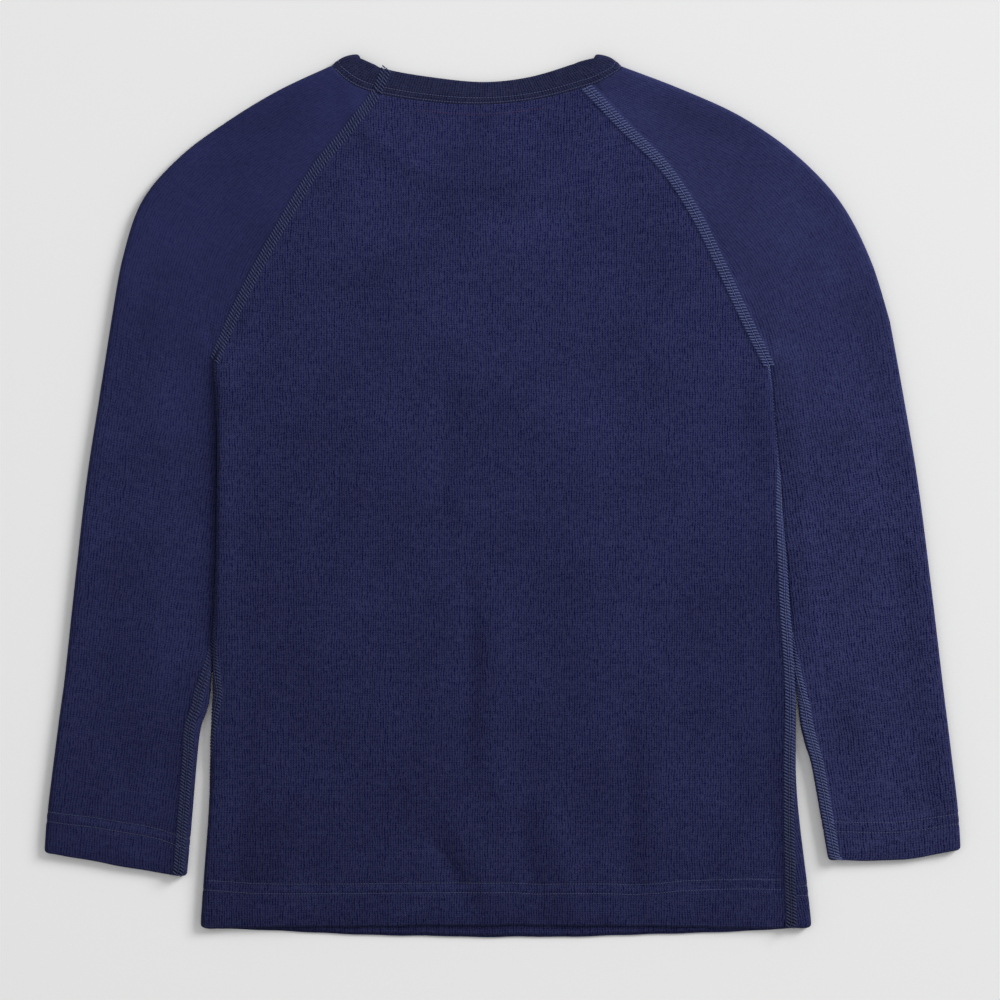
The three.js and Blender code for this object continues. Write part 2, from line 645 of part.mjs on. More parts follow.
function piece(name, rows, colour, ring = false) {
  const material = new THREE.MeshStandardMaterial({ color: colour, roughness: 0.92, metalness: 0 });
  const mesh = new THREE.Mesh(wallGeometry(rows, ring), material);
  mesh.name = name;
  return mesh;
}

const top = new THREE.Group();
top.name = 'thermal_top';
top.add(
  piece('back', backRows(), COLOURS.cloth),
  piece('front', frontRows(), COLOURS.cloth),
  piece('left_sleeve', sleeveRows(leftSide, neckBows.backLeft, neckBows.frontLeft), COLOURS.cloth),
  piece('right_sleeve', sleeveRows(rightSide, neckBows.backRight, neckBows.frontRight), COLOURS.cloth),
  piece('neckband', bandRows(), COLOURS.band, true),
);

export default top;
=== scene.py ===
"""Looks of a child's navy thermal top, laid flat with its back up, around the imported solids.

Each cloth piece is one sheet on the same tracks as its solid: rings from hem to armpit, then rows between the
raglan seams. Finer creases, seam relief and rounded hems are moved into it, and stitches lie on top.
"""

import logging
import math
from dataclasses import dataclass, field
from enum import Enum
from typing import Callable

import bmesh
import bpy
import numpy as np
from bpy.types import ID, Material, NodeSocket, NodeTree, Object
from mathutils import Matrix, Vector

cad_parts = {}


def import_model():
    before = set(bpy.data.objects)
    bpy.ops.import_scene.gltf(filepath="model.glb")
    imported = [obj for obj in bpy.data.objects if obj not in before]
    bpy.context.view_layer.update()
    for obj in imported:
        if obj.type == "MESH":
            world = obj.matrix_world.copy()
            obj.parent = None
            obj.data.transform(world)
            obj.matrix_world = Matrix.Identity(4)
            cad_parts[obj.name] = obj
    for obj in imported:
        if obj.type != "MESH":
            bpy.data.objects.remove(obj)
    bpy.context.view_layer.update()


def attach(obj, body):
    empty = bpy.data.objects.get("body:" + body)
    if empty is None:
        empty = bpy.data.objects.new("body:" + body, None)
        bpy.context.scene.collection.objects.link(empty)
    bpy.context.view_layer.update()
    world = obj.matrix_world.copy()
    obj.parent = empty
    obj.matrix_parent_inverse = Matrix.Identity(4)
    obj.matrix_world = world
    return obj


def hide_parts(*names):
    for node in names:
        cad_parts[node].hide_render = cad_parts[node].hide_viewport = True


LOG = logging.getLogger("thermal_top")
Array = np.ndarray
MM = 0.001

# A normal's height below which a face counts as the underside
UNDERSIDE = -0.7

# Cloth and how it lies, in millimetres
CLOTH = 1.2
HEM_CLOTH = 2.2
BAND_CLOTH = 2.2
SEAM_GAP = 0.3
FOLD_RADIUS = 2.8
LAYERS_TOP = 4.0
HEM_LIFT = 1.0
BAND_LIFT = 0.8
BAND_SINK = 0.55
BAND_SINK_REACH = (0.4, 4.5)
BAND_END_BULGE = 1.9
SETTLE_WIDTH = 18.0
HEM_DEPTH = 24.0
HEM_EASE = 3.0
BACK_HEM_BOW = 1.8
FRONT_HEM_BOW = -5.2
HEM_BOW_FADE = 70.0
BAND_WIDTH = 13.0

# Front neckline, an ellipse under the back, and where the front raglan seams meet it
NECK_CENTRE = np.array([-15.1, 249.0])
NECK_HALF_WIDTH = 83.5
NECK_DEPTH = 74.8
BACK_SEAM_SHARE = 2 / 8
FRONT_SEAM_SHARE = 22 / 180

# Hem corners and edges, and the sleeves' inner edges, which slip under the body's edges below the armpits
CORNER_RADIUS = 2.5
EDGE_WAVE = 0.3
THIN_EDGE = 0.12
NO_EDGE = 1e3
HEM_ROLL = 0.7
HEM_ROLL_WIDTH = 6.5
TUCK = 0.5
TUCK_REACH = (-110.0, -75.0, 62.0, 95.0)

# Shares of a raglan seam that stand for it where distances are measured
SEAM_SHARES = np.linspace(0.0, 1.0, 25)

# Tone of the knit without marks, of its flecks and rows, of the painted highlight on its stitches and of the
# painted shade in the gaps between its columns
BASE_TONE = -0.33
FLECK_TONE = 2.0
STITCH_HIGHLIGHT_TONE = 0.30
ROW_TONE = 0.5
GAP_SHADE_TONE = 1.1

# How much its columns fade on the shoulders, the painted light that makes cloth and threads lighter for each
# metre to the right and up, and the dye's middle level
FAINT_SHARE = 0.6
PAINTED_LIGHT_SLOPE = (0.55, 0.7, 0.0)
DYE_LEVEL = 0.935

# Sewing
STITCH_ROWS = (19.0, 24.6)
FLATLOCK_HALF = 3.3
FLATLOCK_PITCH = 1.85
FLATLOCK_LEAN = 0.8
COVER_PITCH = 1.6
TACK_ROW_DROP = 5.6
TACK_ROW_SPAN = (-50.5, 26.7)

# How much further from the hem's edge the back's stitch rows lie, at places across
BACK_ROW_RISE = (
    (-172.0, 3.2),
    (-162.0, 2.3),
    (-148.0, 1.0),
    (-130.0, 0.5),
    (-90.0, 0.1),
    (-50.0, 0.4),
    (5.0, 0.4),
    (19.0, -0.6),
    (33.0, 0.0),
    (61.0, 0.0),
    (75.0, -0.6),
    (89.0, 0.5),
    (103.0, 2.1),
    (130.0, 3.2),
    (144.0, 3.6),
    (160.0, 3.2),
)

Curve = Callable[[Array], Array]
Height = Callable[[Array, Array], Array]


class Layer(Enum):
    """The layer of the flat top that a stretch of cloth lies in."""

    UPPER = "upper"
    LOWER = "lower"


def smoothstep(value: Array, low: float, high: float) -> Array:
    """Eases from 0 at low to 1 at high."""
    share = np.clip((np.asarray(value, float) - low) / (high - low), 0.0, 1.0)
    return share * share * (3.0 - 2.0 * share)


def mix(a: Array, b: Array, share: Array) -> Array:
    """Blends a into b by a share."""
    return a + (b - a) * share


def bump(value: Array, width: float) -> Array:
    """A soft hump of height 1 at 0 that fades over a width."""
    return np.exp(-((value / width) ** 2))


def running_length(points: Array) -> Array:
    """The length from the start of a line of points to each of them."""
    return np.concatenate([[0.0], np.cumsum(np.linalg.norm(np.diff(points, axis=0), axis=1))])


@dataclass(frozen=True)
class Line:
    """A smooth plane curve through table points, which lie at even shares of it.

    Attributes:
        points: The points, one row each.
    """

    points: Array

    def at(self, share: Array) -> Array:
        """Places on the curve.

        Args:
            share: Shares of the curve, from 0 to 1.

        Returns:
            One point for each share.
        """
        last = len(self.points) - 1
        place = np.clip(np.atleast_1d(np.asarray(share, float)), 0.0, 1.0) * last
        index = np.minimum(place.astype(int), last - 1)
        t = (place - index)[:, None]
        before, start = self.points[np.maximum(index - 1, 0)], self.points[index]
        end, after = self.points[index + 1], self.points[np.minimum(index + 2, last)]
        leave, arrive = (end - before) * 0.5, (after - start) * 0.5
        cubic = (2 * start - 2 * end + leave + arrive) * t**3
        return cubic + (3 * end - 3 * start - 2 * leave - arrive) * t**2 + leave * t + start

    def facing(self, share: float, sign: int) -> Array:
        """The unit direction outwards from the curve.

        Args:
            share: Where on the curve.
            sign: The side to face, minus 1 or 1.

        Returns:
            A vector in the plane.
        """
        step = 1e-4
        ends = self.at(np.array([max(share - step, 0.0), min(share + step, 1.0)]))
        along = (ends[1] - ends[0]) / np.linalg.norm(ends[1] - ends[0])
        return np.array([sign * along[1], -sign * along[0]])

    def lengths(self, count: int = 400) -> tuple[Array, Array]:
        """A count of even shares of the curve and the length from its start to each."""
        shares = np.linspace(0.0, 1.0, count)
        return shares, running_length(self.at(shares))


def rise_at(table: tuple[tuple[float, float], ...], across: Array) -> Array:
    """The rise of stitch rows at places across, from a table of places and rises."""
    places, rises = np.array(table).T
    return np.interp(across, places, rises)


def distance_to(points: Array, x: Array, y: Array) -> Array:
    """Distance from places in the plane to a line of points.

    Args:
        points: The line's points, one row each.
        x: Places across.
        y: Places up.

    Returns:
        The distance for each place.
    """
    nearest = np.full(np.shape(x), np.inf)
    for a, b in zip(points[:-1], points[1:]):
        span = b - a
        share = np.clip(((x - a[0]) * span[0] + (y - a[1]) * span[1]) / (span @ span), 0.0, 1.0)
        nearest = np.minimum(nearest, np.hypot(x - a[0] - share * span[0], y - a[1] - share * span[1]))
    return nearest


@dataclass(frozen=True)
class Crease:
    """A soft ridge or trough of the upper layer.

    Attributes:
        start: Where it starts, across and up.
        end: Where it ends.
        width: Its half width.
        lift: How far it lifts the cloth, or sinks it if negative.
        bow: How far its middle bends to the left of its run.
    """

    start: tuple[float, float]
    end: tuple[float, float]
    width: float
    lift: float
    bow: float = 0.0

    def height(self, x: Array, y: Array) -> Array:
        """How far the crease moves the cloth.

        Args:
            x: Places across.
            y: Places up.

        Returns:
            The move at each place.
        """
        start, end = np.array(self.start), np.array(self.end)
        run = end - start
        side = np.array([-run[1], run[0]]) / np.linalg.norm(run)
        shares = np.linspace(0.0, 1.0, 7)[:, None]
        line = start + run * shares + side * self.bow * np.sin(np.pi * shares)
        return self.lift * bump(distance_to(line, x, y), self.width)


@dataclass(frozen=True)
class SideCut:
    """The outline of one side of the top, as it lies, out from the middle and up from the middle.

    Attributes:
        sign: Minus 1 on the left, 1 on the right.
        cuff_bow: How far the cuff's edge bows outwards.
        press: Share of its height that the sleeve loses beside the body, and the distances where it gets it back.
        puff: Share of its height by which the body's edge is raised there.
        row_rise: How much further from the cuff's edge the stitch rows lie, at places out from the middle.
        body: Rows of side edge out, up, and the side seam's distance in from the edge over the back.
        sleeve: Rows of inner edge out, up, outer edge out, up, and the underarm seam's distance in.
        raglan: Rows of back seam out, up, shoulder edge out, up, front seam out, up.
    """

    sign: int
    cuff_bow: float
    press: tuple[float, float, float]
    puff: float
    row_rise: tuple[tuple[float, float], ...]
    body: tuple[tuple[float, ...], ...]
    sleeve: tuple[tuple[float, ...], ...]
    raglan: tuple[tuple[float, ...], ...]

    def line(self, table: str, column: int) -> Line:
        """The curve through a table's pair of columns."""
        rows = np.array(getattr(self, table))
        return Line(rows[:, column : column + 2] * [self.sign, 1.0])

    def seam(self, table: str, share: float) -> float:
        """The seam's distance in from the edge, the last column of a table."""
        rows = np.array(getattr(self, table))
        return float(np.interp(share, np.linspace(0.0, 1.0, len(rows)), rows[:, -1]))


LEFT = SideCut(
    sign=-1,
    cuff_bow=0.0,
    press=(0.56, 8.0, 34.0),
    puff=0.28,
    row_rise=(
        (185.0, -2.0), (190.0, -1.4), (199.0, 0.2), (208.0, 0.7), (236.0, 0.6), (245.0, 0.1), (255.0, -0.5),
    ),
    body=(
        (175.4, -250.1, -9.0),
        (173.8, -226.0, -6.0),
        (169.9, -170.0, -4.0),
        (168.1, -115.0, 4.5),
        (166.8, -60.0, -3.5),
        (166.0, -5.0, -5.0),
        (165.8, 40.0, -4.5),
        (167.0, 77.6, 0.0),
    ),
    sleeve=(
        (182.9, -220.8, 265.8, -207.2, 6.3),
        (180.7, -197.0, 263.9, -183.0, 6.7),
        (177.0, -153.0, 258.7, -141.0, 6.8),
        (174.6, -134.0, 256.2, -122.0, 8.0),
        (169.4, -115.0, 253.7, -103.0, 8.0),
        (166.9, -60.0, 247.8, -48.0, -4.5),
        (166.1, -5.0, 241.4, 8.0, -5.0),
        (165.9, 40.0, 234.2, 55.0, -4.5),
        (167.0, 77.6, 226.4, 104.8, 0.0),
    ),
    raglan=(
        (167.0, 77.6, 226.4, 104.8, 167.0, 77.6),
        (154.7, 106.6, 220.2, 138.5, 158.0, 104.0),
        (140.6, 134.6, 209.0, 170.9, 146.5, 129.0),
        (124.9, 162.2, 186.8, 196.7, 134.0, 152.5),
        (108.2, 189.2, 159.2, 217.2, 120.5, 176.0),
        (88.8, 212.8, 129.8, 235.0, 106.5, 199.0),
        (73.0, 233.1, 98.9, 249.4, 92.5, 221.0),
    ),
)

RIGHT = SideCut(
    sign=1,
    cuff_bow=3.0,
    press=(0.5, 1.0, 16.0),
    puff=0.0,
    row_rise=((188.0, -1.5), (198.0, -2.0), (216.0, -3.0), (235.0, -3.9), (263.0, -4.2)),
    body=(
        (179.0, -250.1, 13.6),
        (176.5, -226.0, 11.7),
        (170.3, -170.0, 6.1),
        (169.7, -115.0, 4.9),
        (166.0, -60.0, 4.6),
        (161.3, -5.0, 2.0),
        (157.6, 40.0, -3.5),
        (154.3, 74.7, 0.0),
    ),
    sleeve=(
        (188.5, -211.6, 265.3, -205.3, 5.3),
        (184.4, -189.0, 263.7, -181.5, 5.5),
        (178.4, -156.0, 259.6, -147.0, 5.5),
        (174.2, -142.0, 257.9, -133.0, 6.0),
        (170.7, -122.0, 255.4, -113.0, 5.5),
        (166.2, -60.0, 247.9, -50.0, -3.5),
        (161.4, -5.0, 240.6, 7.0, -5.0),
        (157.7, 40.0, 232.8, 54.0, -4.5),
        (154.3, 74.7, 224.3, 101.0, 0.0),
    ),
    raglan=(
        (154.3, 74.7, 224.3, 101.0, 154.3, 74.7),
        (139.8, 104.2, 212.9, 137.1, 143.5, 101.0),
        (126.0, 133.8, 195.4, 170.4, 129.5, 126.5),
        (111.4, 163.4, 169.4, 197.9, 114.5, 151.0),
        (93.2, 190.7, 138.2, 219.6, 98.0, 175.0),
        (70.6, 213.2, 103.9, 235.4, 80.5, 198.5),
        (48.0, 236.8, 68.5, 248.9, 62.3, 221.0),
    ),
)

# Back neckline from the left shoulder edge to the right one: seam line across, up, and free edge across, up
BACK_NECK = np.array(
    [
        (-98.9, 249.4, -83.6, 255.8),
        (-88.9, 239.9, -75.4, 251.2),
        (-73.0, 233.1, -67.0, 246.9),
        (-42.5, 228.2, -38.5, 242.1),
        (-12.0, 226.7, -11.0, 239.7),
        (19.0, 229.6, 14.0, 242.3),
        (48.0, 236.8, 37.5, 249.0),
        (58.5, 241.8, 45.5, 252.8),
        (68.5, 248.9, 53.8, 255.8),
    ]
)

CREASES = (
    Crease((-170.5, 95), (-167.5, 76), 2.2, -1.6),
    Crease((-60, 214), (22, 214), 9.0, -0.9),
    Crease((-20, -53), (-22, -156), 6.0, -1.4, 2),
    Crease((-4, -70), (-4, -165), 9.0, 1.4, -3),
    Crease((-38, -80), (-42, -150), 10.0, 0.9),
    Crease((-42, -200), (-20, -240), 6.0, -1.5, 2),
    Crease((-28, -186), (-6, -236), 9.0, 1.4),
    Crease((11, -190), (23, -244), 6.0, -1.5, -2),
    Crease((26, -180), (40, -238), 9.0, 1.4),
    Crease((72, -140), (72, -242), 6.5, -1.4, 2),
    Crease((90, -120), (94, -236), 12.0, 1.2, -3),
    Crease((155, -118), (158, -245), 6.0, -0.8),
    Crease((178, 147), (144, 121), 6.0, -1.6, 2),
    Crease((184, 128), (158, 104), 9.0, 1.4),
    Crease((-133, 106), (-141, 94), 8.0, -1.3),
    Crease((-33, 58), (-34, -18), 8.0, -1.0, -2),
    Crease((-70, 160), (41, 161), 11.0, -1.1, 3),
    Crease((-108, -60), (-112, -170), 12.0, 0.6, 4),
    Crease((-128, -190), (-120, -242), 9.0, 0.7),
    Crease((-150, -150), (-152, -238), 8.0, -0.6),
    Crease((118, -40), (122, -130), 13.0, 0.6, -4),
    Crease((124, -190), (120, -240), 8.0, -0.5),
    Crease((40, 40), (46, -60), 14.0, 0.5, 3),
    Crease((-80, 60), (-86, -30), 14.0, 0.5, -3),
    Crease((-212, 60), (-220, -30), 12.0, 0.6, 3),
    Crease((-228, -60), (-222, -150), 10.0, -0.5, -3),
    Crease((-200, -80), (-208, -170), 9.0, 0.6),
    Crease((200, 40), (212, -60), 12.0, 0.6, -3),
    Crease((226, -40), (232, -140), 10.0, -0.5, 3),
    Crease((205, -110), (212, -180), 9.0, 0.6),
    Crease((-196, 150), (-168, 178), 12.0, 0.5),
    Crease((150, 188), (176, 158), 12.0, 0.5),
)


@dataclass(frozen=True)
class Lay:
    """How the upper layer lies over the lower one.

    Attributes:
        neck_sag: How far it sinks over the neck hole of the front.
        band_print: How far it rises over the front's neckband.
    """

    neck_sag: float = 1.5
    band_print: float = 0.8

    def neck_relief(self, x: Array, y: Array) -> Array:
        """The sink over the neck hole and the rise over the front's neckband.

        Args:
            x: Places across.
            y: Places up.

        Returns:
            The move at each place.
        """
        radius = np.hypot((x - NECK_CENTRE[0]) / NECK_HALF_WIDTH, (y - NECK_CENTRE[1]) / NECK_DEPTH)
        seam = 1.0 - BAND_WIDTH / (2.0 * NECK_DEPTH)
        sag = self.neck_sag * (1.0 - smoothstep(radius, 0.45, 0.85))
        return self.band_print * bump(radius - seam, 0.07) - sag

    def ripple(self, x: Array, y: Array) -> Array:
        """Faint unevenness of cloth that has lain in a drawer, mostly along its length.

        Args:
            x: Places across.
            y: Places up.

        Returns:
            The move at each place.
        """
        slow = np.sin(x / 17.0 + 1.3 * np.sin(y / 61.0)) * np.sin(y / 83.0 + 0.9)
        fine = np.sin(x / 7.3 + 1.1 * np.sin(y / 37.0 + 2.0)) * np.sin(y / 29.0 + x / 47.0)
        return 0.16 * slow + 0.07 * fine

    def top(self, x: Array, y: Array, turned_up: float) -> Array:
        """Height of the upper layer's outer face away from any fold edge.

        Args:
            x: Places across.
            y: Places up.
            turned_up: How much of the turned-up hem lies there, from 0 to 1.

        Returns:
            The height for each place.
        """
        creases = sum(crease.height(x, y) for crease in CREASES)
        held = np.where(creases < 0, creases * (1.0 - 0.6 * turned_up), creases)
        return LAYERS_TOP + HEM_LIFT * turned_up + held + self.neck_relief(x, y) + self.ripple(x, y)

    def settled(self, height: Array, edge_distance: Array) -> Array:
        """The height with its rise to the fold near an edge."""
        share = smoothstep(edge_distance, FOLD_RADIUS, FOLD_RADIUS + SETTLE_WIDTH)
        return mix(2.0 * FOLD_RADIUS, height, share)


LAY = Lay()


@dataclass
class Places:
    """Points on the cloth's outer face with their outward normals.

    Attributes:
        points: One row for each place, in millimetres.
        normals: One row for each place.
    """

    points: Array
    normals: Array


def underneath(place: Array) -> Places:
    """Places on the lower layer's outer face, which lies on the ground and faces down."""
    return Places(np.column_stack([place, np.zeros(len(place))]), np.tile([0.0, 0.0, -1.0], (len(place), 1)))


def on_top(place: Array, height: Array) -> Places:
    """Places at heights on the upper layer, which faces up."""
    return Places(np.column_stack([place, height]), np.tile([0.0, 0.0, 1.0], (len(place), 1)))


@dataclass
class Bend:
    """Cloth round a half circle or a part of one, at a fold's edge.

    Attributes:
        centre: The circle's centre in the plane.
        outward: The way the fold faces.
        start: First angle, from level outwards up.
        end: Last angle.
        bends: Says that this stretch needs columns close together.
    """

    centre: Array
    outward: Array
    start: float
    end: float
    bends: bool = True

    @property
    def length(self) -> float:
        """Length of cloth round the bend."""
        return FOLD_RADIUS * abs(self.end - self.start)

    def at(self, share: Array) -> Places:
        """Places on the bend.

        Args:
            share: Shares of its length.

        Returns:
            One place for each share.
        """
        angle = mix(self.start, self.end, share)
        level = np.cos(angle)[:, None] * self.outward
        normals = np.column_stack([level, np.sin(angle)])
        middle = np.array([self.centre[0], self.centre[1], FOLD_RADIUS])
        return Places(middle + FOLD_RADIUS * normals, normals)


@dataclass
class Flat:
    """Cloth that lies in one layer from one place to another.

    Attributes:
        start: First place in the plane.
        end: Last place.
        bow: How far the row bows from the straight line, at each share.
        height: The upper layer's height, or None in the lower layer.
        bends: Says that this stretch needs no columns close together.
    """

    start: Array
    end: Array
    bow: Curve
    height: Height | None
    bends: bool = False

    @property
    def length(self) -> float:
        """Straight length of the row."""
        return float(np.linalg.norm(self.end - self.start))

    def at(self, share: Array) -> Places:
        """Places on the stretch.

        Args:
            share: Shares of its length.

        Returns:
            One place for each share.
        """
        place = self.start + (self.end - self.start) * share[:, None] + self.bow(share)
        if self.height is None:
            return underneath(place)
        x, y = place.T
        slope_x = self.height(x + 0.5, y) - self.height(x - 0.5, y)
        slope_y = self.height(x, y + 0.5) - self.height(x, y - 0.5)
        normals = np.column_stack([-slope_x, -slope_y, np.ones_like(x)])
        normals /= np.linalg.norm(normals, axis=1)[:, None]
        return Places(np.column_stack([x, y, self.height(x, y)]), normals)


@dataclass
class Track:
    """A run of bends and flats round the garment.

    Attributes:
        stretches: The bends and flats in order.
    """

    stretches: list[Bend | Flat]

    @property
    def length(self) -> float:
        """Length of the whole run."""
        return sum(stretch.length for stretch in self.stretches)

    def at(self, distance: Array) -> Places:
        """Places at distances along the run, which closes on itself.

        Args:
            distance: Distances from the start.

        Returns:
            The places, in the same order.
        """
        whole = self.length
        rest = np.where(distance < 0, distance + whole, distance)
        rest = np.where(rest > whole, rest - whole, rest)
        points, normals = np.zeros((len(rest), 3)), np.zeros((len(rest), 3))
        start = 0.0
        for number, stretch in enumerate(self.stretches):
            end = start + stretch.length
            last = number == len(self.stretches) - 1
            here = (rest >= start) & ((rest < end) | last)
            if here.any():
                places = stretch.at(np.clip((rest[here] - start) / stretch.length, 0.0, 1.0))
                points[here], normals[here] = places.points, places.normals
            start = end
        return Places(points, normals)

    def stations(self, start: float, end: float, columns: int, fine: float, coarse: float) -> Array:
        """Distances close together at bends and at both ends, and wide apart on the flat.

        Args:
            start: First distance.
            end: Last distance.
            columns: How many steps.
            fine: Step at a bend.
            coarse: Step on the flat.

        Returns:
            One distance more than columns.
        """
        ranges = [(start, start), (end, end)]
        begin = 0.0
        for stretch in self.stretches:
            finish = begin + stretch.length
            if stretch.bends:
                shifts = (0.0, -self.length, self.length)
                ranges += [(begin + shift, finish + shift) for shift in shifts]
            begin = finish
        places = np.linspace(start, end, 1201)
        away = np.min([np.maximum(np.maximum(a - places, places - b), 0.0) for a, b in ranges], axis=0)
        weight = 1.0 / mix(fine, coarse, np.clip(away / 14.0, 0.0, 1.0))
        sums = np.concatenate([[0.0], np.cumsum((weight[1:] + weight[:-1]) / 2.0)])
        return np.interp(np.linspace(0.0, sums[-1], columns + 1), sums, places)


@dataclass
class Row:
    """One row of a cloth piece.

    Attributes:
        track: The run that the row follows.
        start: Where on it the row starts.
        end: Where it ends.
        turned_up: Share of turned-up hem, from 0 to 1.
        edge_distance: Distance from the hem's or cuff's edge.
        across_zero: Distance on the run where the knit's own across is 0.
        along: The knit's own length at this row.
    """

    track: Track
    start: float
    end: float
    turned_up: float
    edge_distance: float
    across_zero: float
    along: float


def arc_bow(height: float) -> Curve:
    """A bow up the garment, highest in its middle."""
    return lambda share: np.column_stack([np.zeros_like(share), height * np.sin(np.pi * share)])


def bow_of(curve: Curve, start: float, end: float, scale: float = 1.0) -> Curve:
    """The bow of a curve between two shares of it, against its own chord.

    Args:
        curve: Gives points for shares.
        start: Share where the stretch starts.
        end: Share where it ends.
        scale: How much of the bow to take.

    Returns:
        A function from shares of the stretch to offsets.
    """
    ends = curve(np.array([start, end]))

    def bow(share: Array) -> Array:
        """Offsets at shares of the stretch."""
        chord = ends[0] + (ends[1] - ends[0]) * share[:, None]
        return scale * (curve(start + (end - start) * share) - chord)

    return bow


BACK_NECK_SEAM = Line(BACK_NECK[:, 0:2])
BACK_NECK_FREE = Line(BACK_NECK[:, 2:4])


def front_neck(share: Array) -> Array:
    """The front neckline's seam from the left shoulder edge to the right one."""
    angle = np.pi * np.atleast_1d(share)
    return NECK_CENTRE + np.column_stack([-NECK_HALF_WIDTH * np.cos(angle), -NECK_DEPTH * np.sin(angle)])


def front_neck_free(share: Array) -> Array:
    """The free edge of the front neckband.

    Args:
        share: Shares of it from the left shoulder edge.

    Returns:
        One point for each share.
    """
    angle = np.pi * np.atleast_1d(share)
    left, right = BACK_NECK[0, 2:4], BACK_NECK[-1, 2:4]
    sink = NECK_DEPTH - BAND_WIDTH + left[1] - NECK_CENTRE[1]
    across = mix(left[0], right[0], (1.0 - np.cos(angle)) / 2.0)
    return np.column_stack([across, left[1] - sink * np.sin(angle)])


@dataclass
class Side:
    """The lines of one side of the top, worked out from its cut.

    Attributes:
        cut: The side's tables.
    """

    cut: SideCut

    def __post_init__(self) -> None:
        """Works out the lines."""
        self.body = self.cut.line("body", 0)
        self.inner = self.cut.line("sleeve", 0)
        self.outer = self.cut.line("sleeve", 2)
        self.back = self.cut.line("raglan", 0)
        self.shoulder = self.cut.line("raglan", 2)
        self.front = self.cut.line("raglan", 4)
        shares = np.linspace(0.0, 1.0, 31)
        self.body_edge = self.body.at(shares)
        self.sleeve_edges = [line.at(shares) for line in (self.inner, self.outer, self.shoulder)]

    def fold(self, line: Line, share: float, sign: int, inset: float = 0.0) -> tuple[Array, Array]:
        """Centre and facing of a fold at a share of its line, drawn in by an inset."""
        outward = line.facing(share, sign)
        return line.at(share)[0] - outward * (FOLD_RADIUS + SEAM_GAP / 2 + inset), outward

    @staticmethod
    def tucked(up: Array) -> Array:
        """Share by which the sleeve's inner edge is tucked under the body's edge, at places up."""
        low, full, fading, high = TUCK_REACH
        return smoothstep(up, low, full) * (1.0 - smoothstep(up, fading, high))

    def pressed(self, points: Array) -> Array:
        """The sleeve's places, pressed down along the inner edge and slipped under the body's edge.

        Args:
            points: The places, one row each.

        Returns:
            The moved places.
        """
        x, y, z = points.T
        share, near, far = self.cut.press
        tucked = self.tucked(y)
        away = distance_to(self.sleeve_edges[0], x, y)
        slip = TUCK * tucked * (1.0 - smoothstep(away, 2.0, 12.0))
        lower = share * tucked * (1.0 - smoothstep(away, near, far))
        return np.column_stack([x - self.cut.sign * slip, y, z * (1.0 - lower)])

    def puffed(self, points: Array) -> Array:
        """The body's places, raised along the edge over the tucked sleeve.

        Args:
            points: The places, one row each.

        Returns:
            The moved places.
        """
        x, y, z = points.T
        away = distance_to(self.body_edge, x, y)
        higher = self.cut.puff * self.tucked(y) * (1.0 - smoothstep(away, 4.0, 18.0))
        return np.column_stack([x, y, z * (1.0 + higher)])

    def seam_point(self, line: Line, share: float, towards_sleeve: int) -> Array:
        """A point half a seam gap to one side of a raglan seam."""
        outward = line.facing(share, self.cut.sign)
        return line.at(share)[0] + outward * (towards_sleeve * SEAM_GAP / 2)


SIDES = {-1: Side(LEFT), 1: Side(RIGHT)}


def turned_up_at(distance: float) -> float:
    """Share of turned-up hem at a distance from its edge."""
    return float(1.0 - smoothstep(distance, HEM_DEPTH - HEM_EASE, HEM_DEPTH))


def corner_inset(above: float) -> float:
    """How far a hem's corner is drawn in at a distance from the hem's edge."""
    rest = min(max(CORNER_RADIUS - above, 0.0), CORNER_RADIUS)
    return CORNER_RADIUS - math.sqrt(CORNER_RADIUS**2 - rest**2)


def edge_wave(x: Array, above: float) -> Array:
    """Small unevenness of a hem's edge, which fades above it."""
    wave = 0.6 * np.sin(x / 11.0 + 1.2 * np.sin(x / 31.0)) + 0.4 * np.sin(x / 4.3)
    return EDGE_WAVE * wave * (1.0 - smoothstep(above, 0.0, 14.0))


def body_height(turned_up: float) -> Height:
    """Height of the body's upper layer, which rises at its side edges.

    Args:
        turned_up: Share of turned-up hem there.

    Returns:
        A function from places to heights.
    """
    edges = [SIDES[-1].body_edge, SIDES[1].body_edge]

    def height(x: Array, y: Array) -> Array:
        """The height at each place."""
        away = np.minimum(distance_to(edges[0], x, y), distance_to(edges[1], x, y))
        return LAY.settled(LAY.top(x, y, turned_up), away)

    return height


def sleeve_height(side: Side, turned_up: float) -> Height:
    """Height of a sleeve's upper layer, which rises at both its edges.

    Args:
        side: The sleeve's side.
        turned_up: Share of turned-up cuff there.

    Returns:
        A function from places to heights.
    """

    def height(x: Array, y: Array) -> Array:
        """The height at each place."""
        away = np.min([distance_to(edge, x, y) for edge in side.sleeve_edges], axis=0)
        return LAY.settled(LAY.top(x, y, turned_up), away)

    return height


def body_ring(share: float) -> tuple[Track, float, float, float]:
    """The ring of cloth round the body at a share of its height below the armpits.

    Args:
        share: Share of the side edge, 0 at the hem.

    Returns:
        The track, the left and right side seams' distances on it, and the height above the hem.
    """
    above = float(SIDES[-1].body.at(share)[0][1] - SIDES[-1].body.at(0.0)[0][1])
    inset = corner_inset(above)
    left, left_out = SIDES[-1].fold(SIDES[-1].body, share, -1, inset)
    right, right_out = SIDES[1].fold(SIDES[1].body, share, 1, inset)
    turned_up = turned_up_at(above)
    bow = max(0.0, 1.0 - above / HEM_BOW_FADE)
    quarter = math.pi / 2
    track = Track(
        [
            Bend(left, left_out, 0.0, quarter),
            Flat(left, right, arc_bow(BACK_HEM_BOW * bow), body_height(turned_up)),
            Bend(right, right_out, quarter, -quarter),
            Flat(right, left, arc_bow(FRONT_HEM_BOW * bow), None),
            Bend(left, left_out, -quarter, 0.0),
        ]
    )
    right_edge = track.stretches[0].length + track.stretches[1].length + track.stretches[2].length / 2
    return track, LEFT.seam("body", share), right_edge - RIGHT.seam("body", share), above


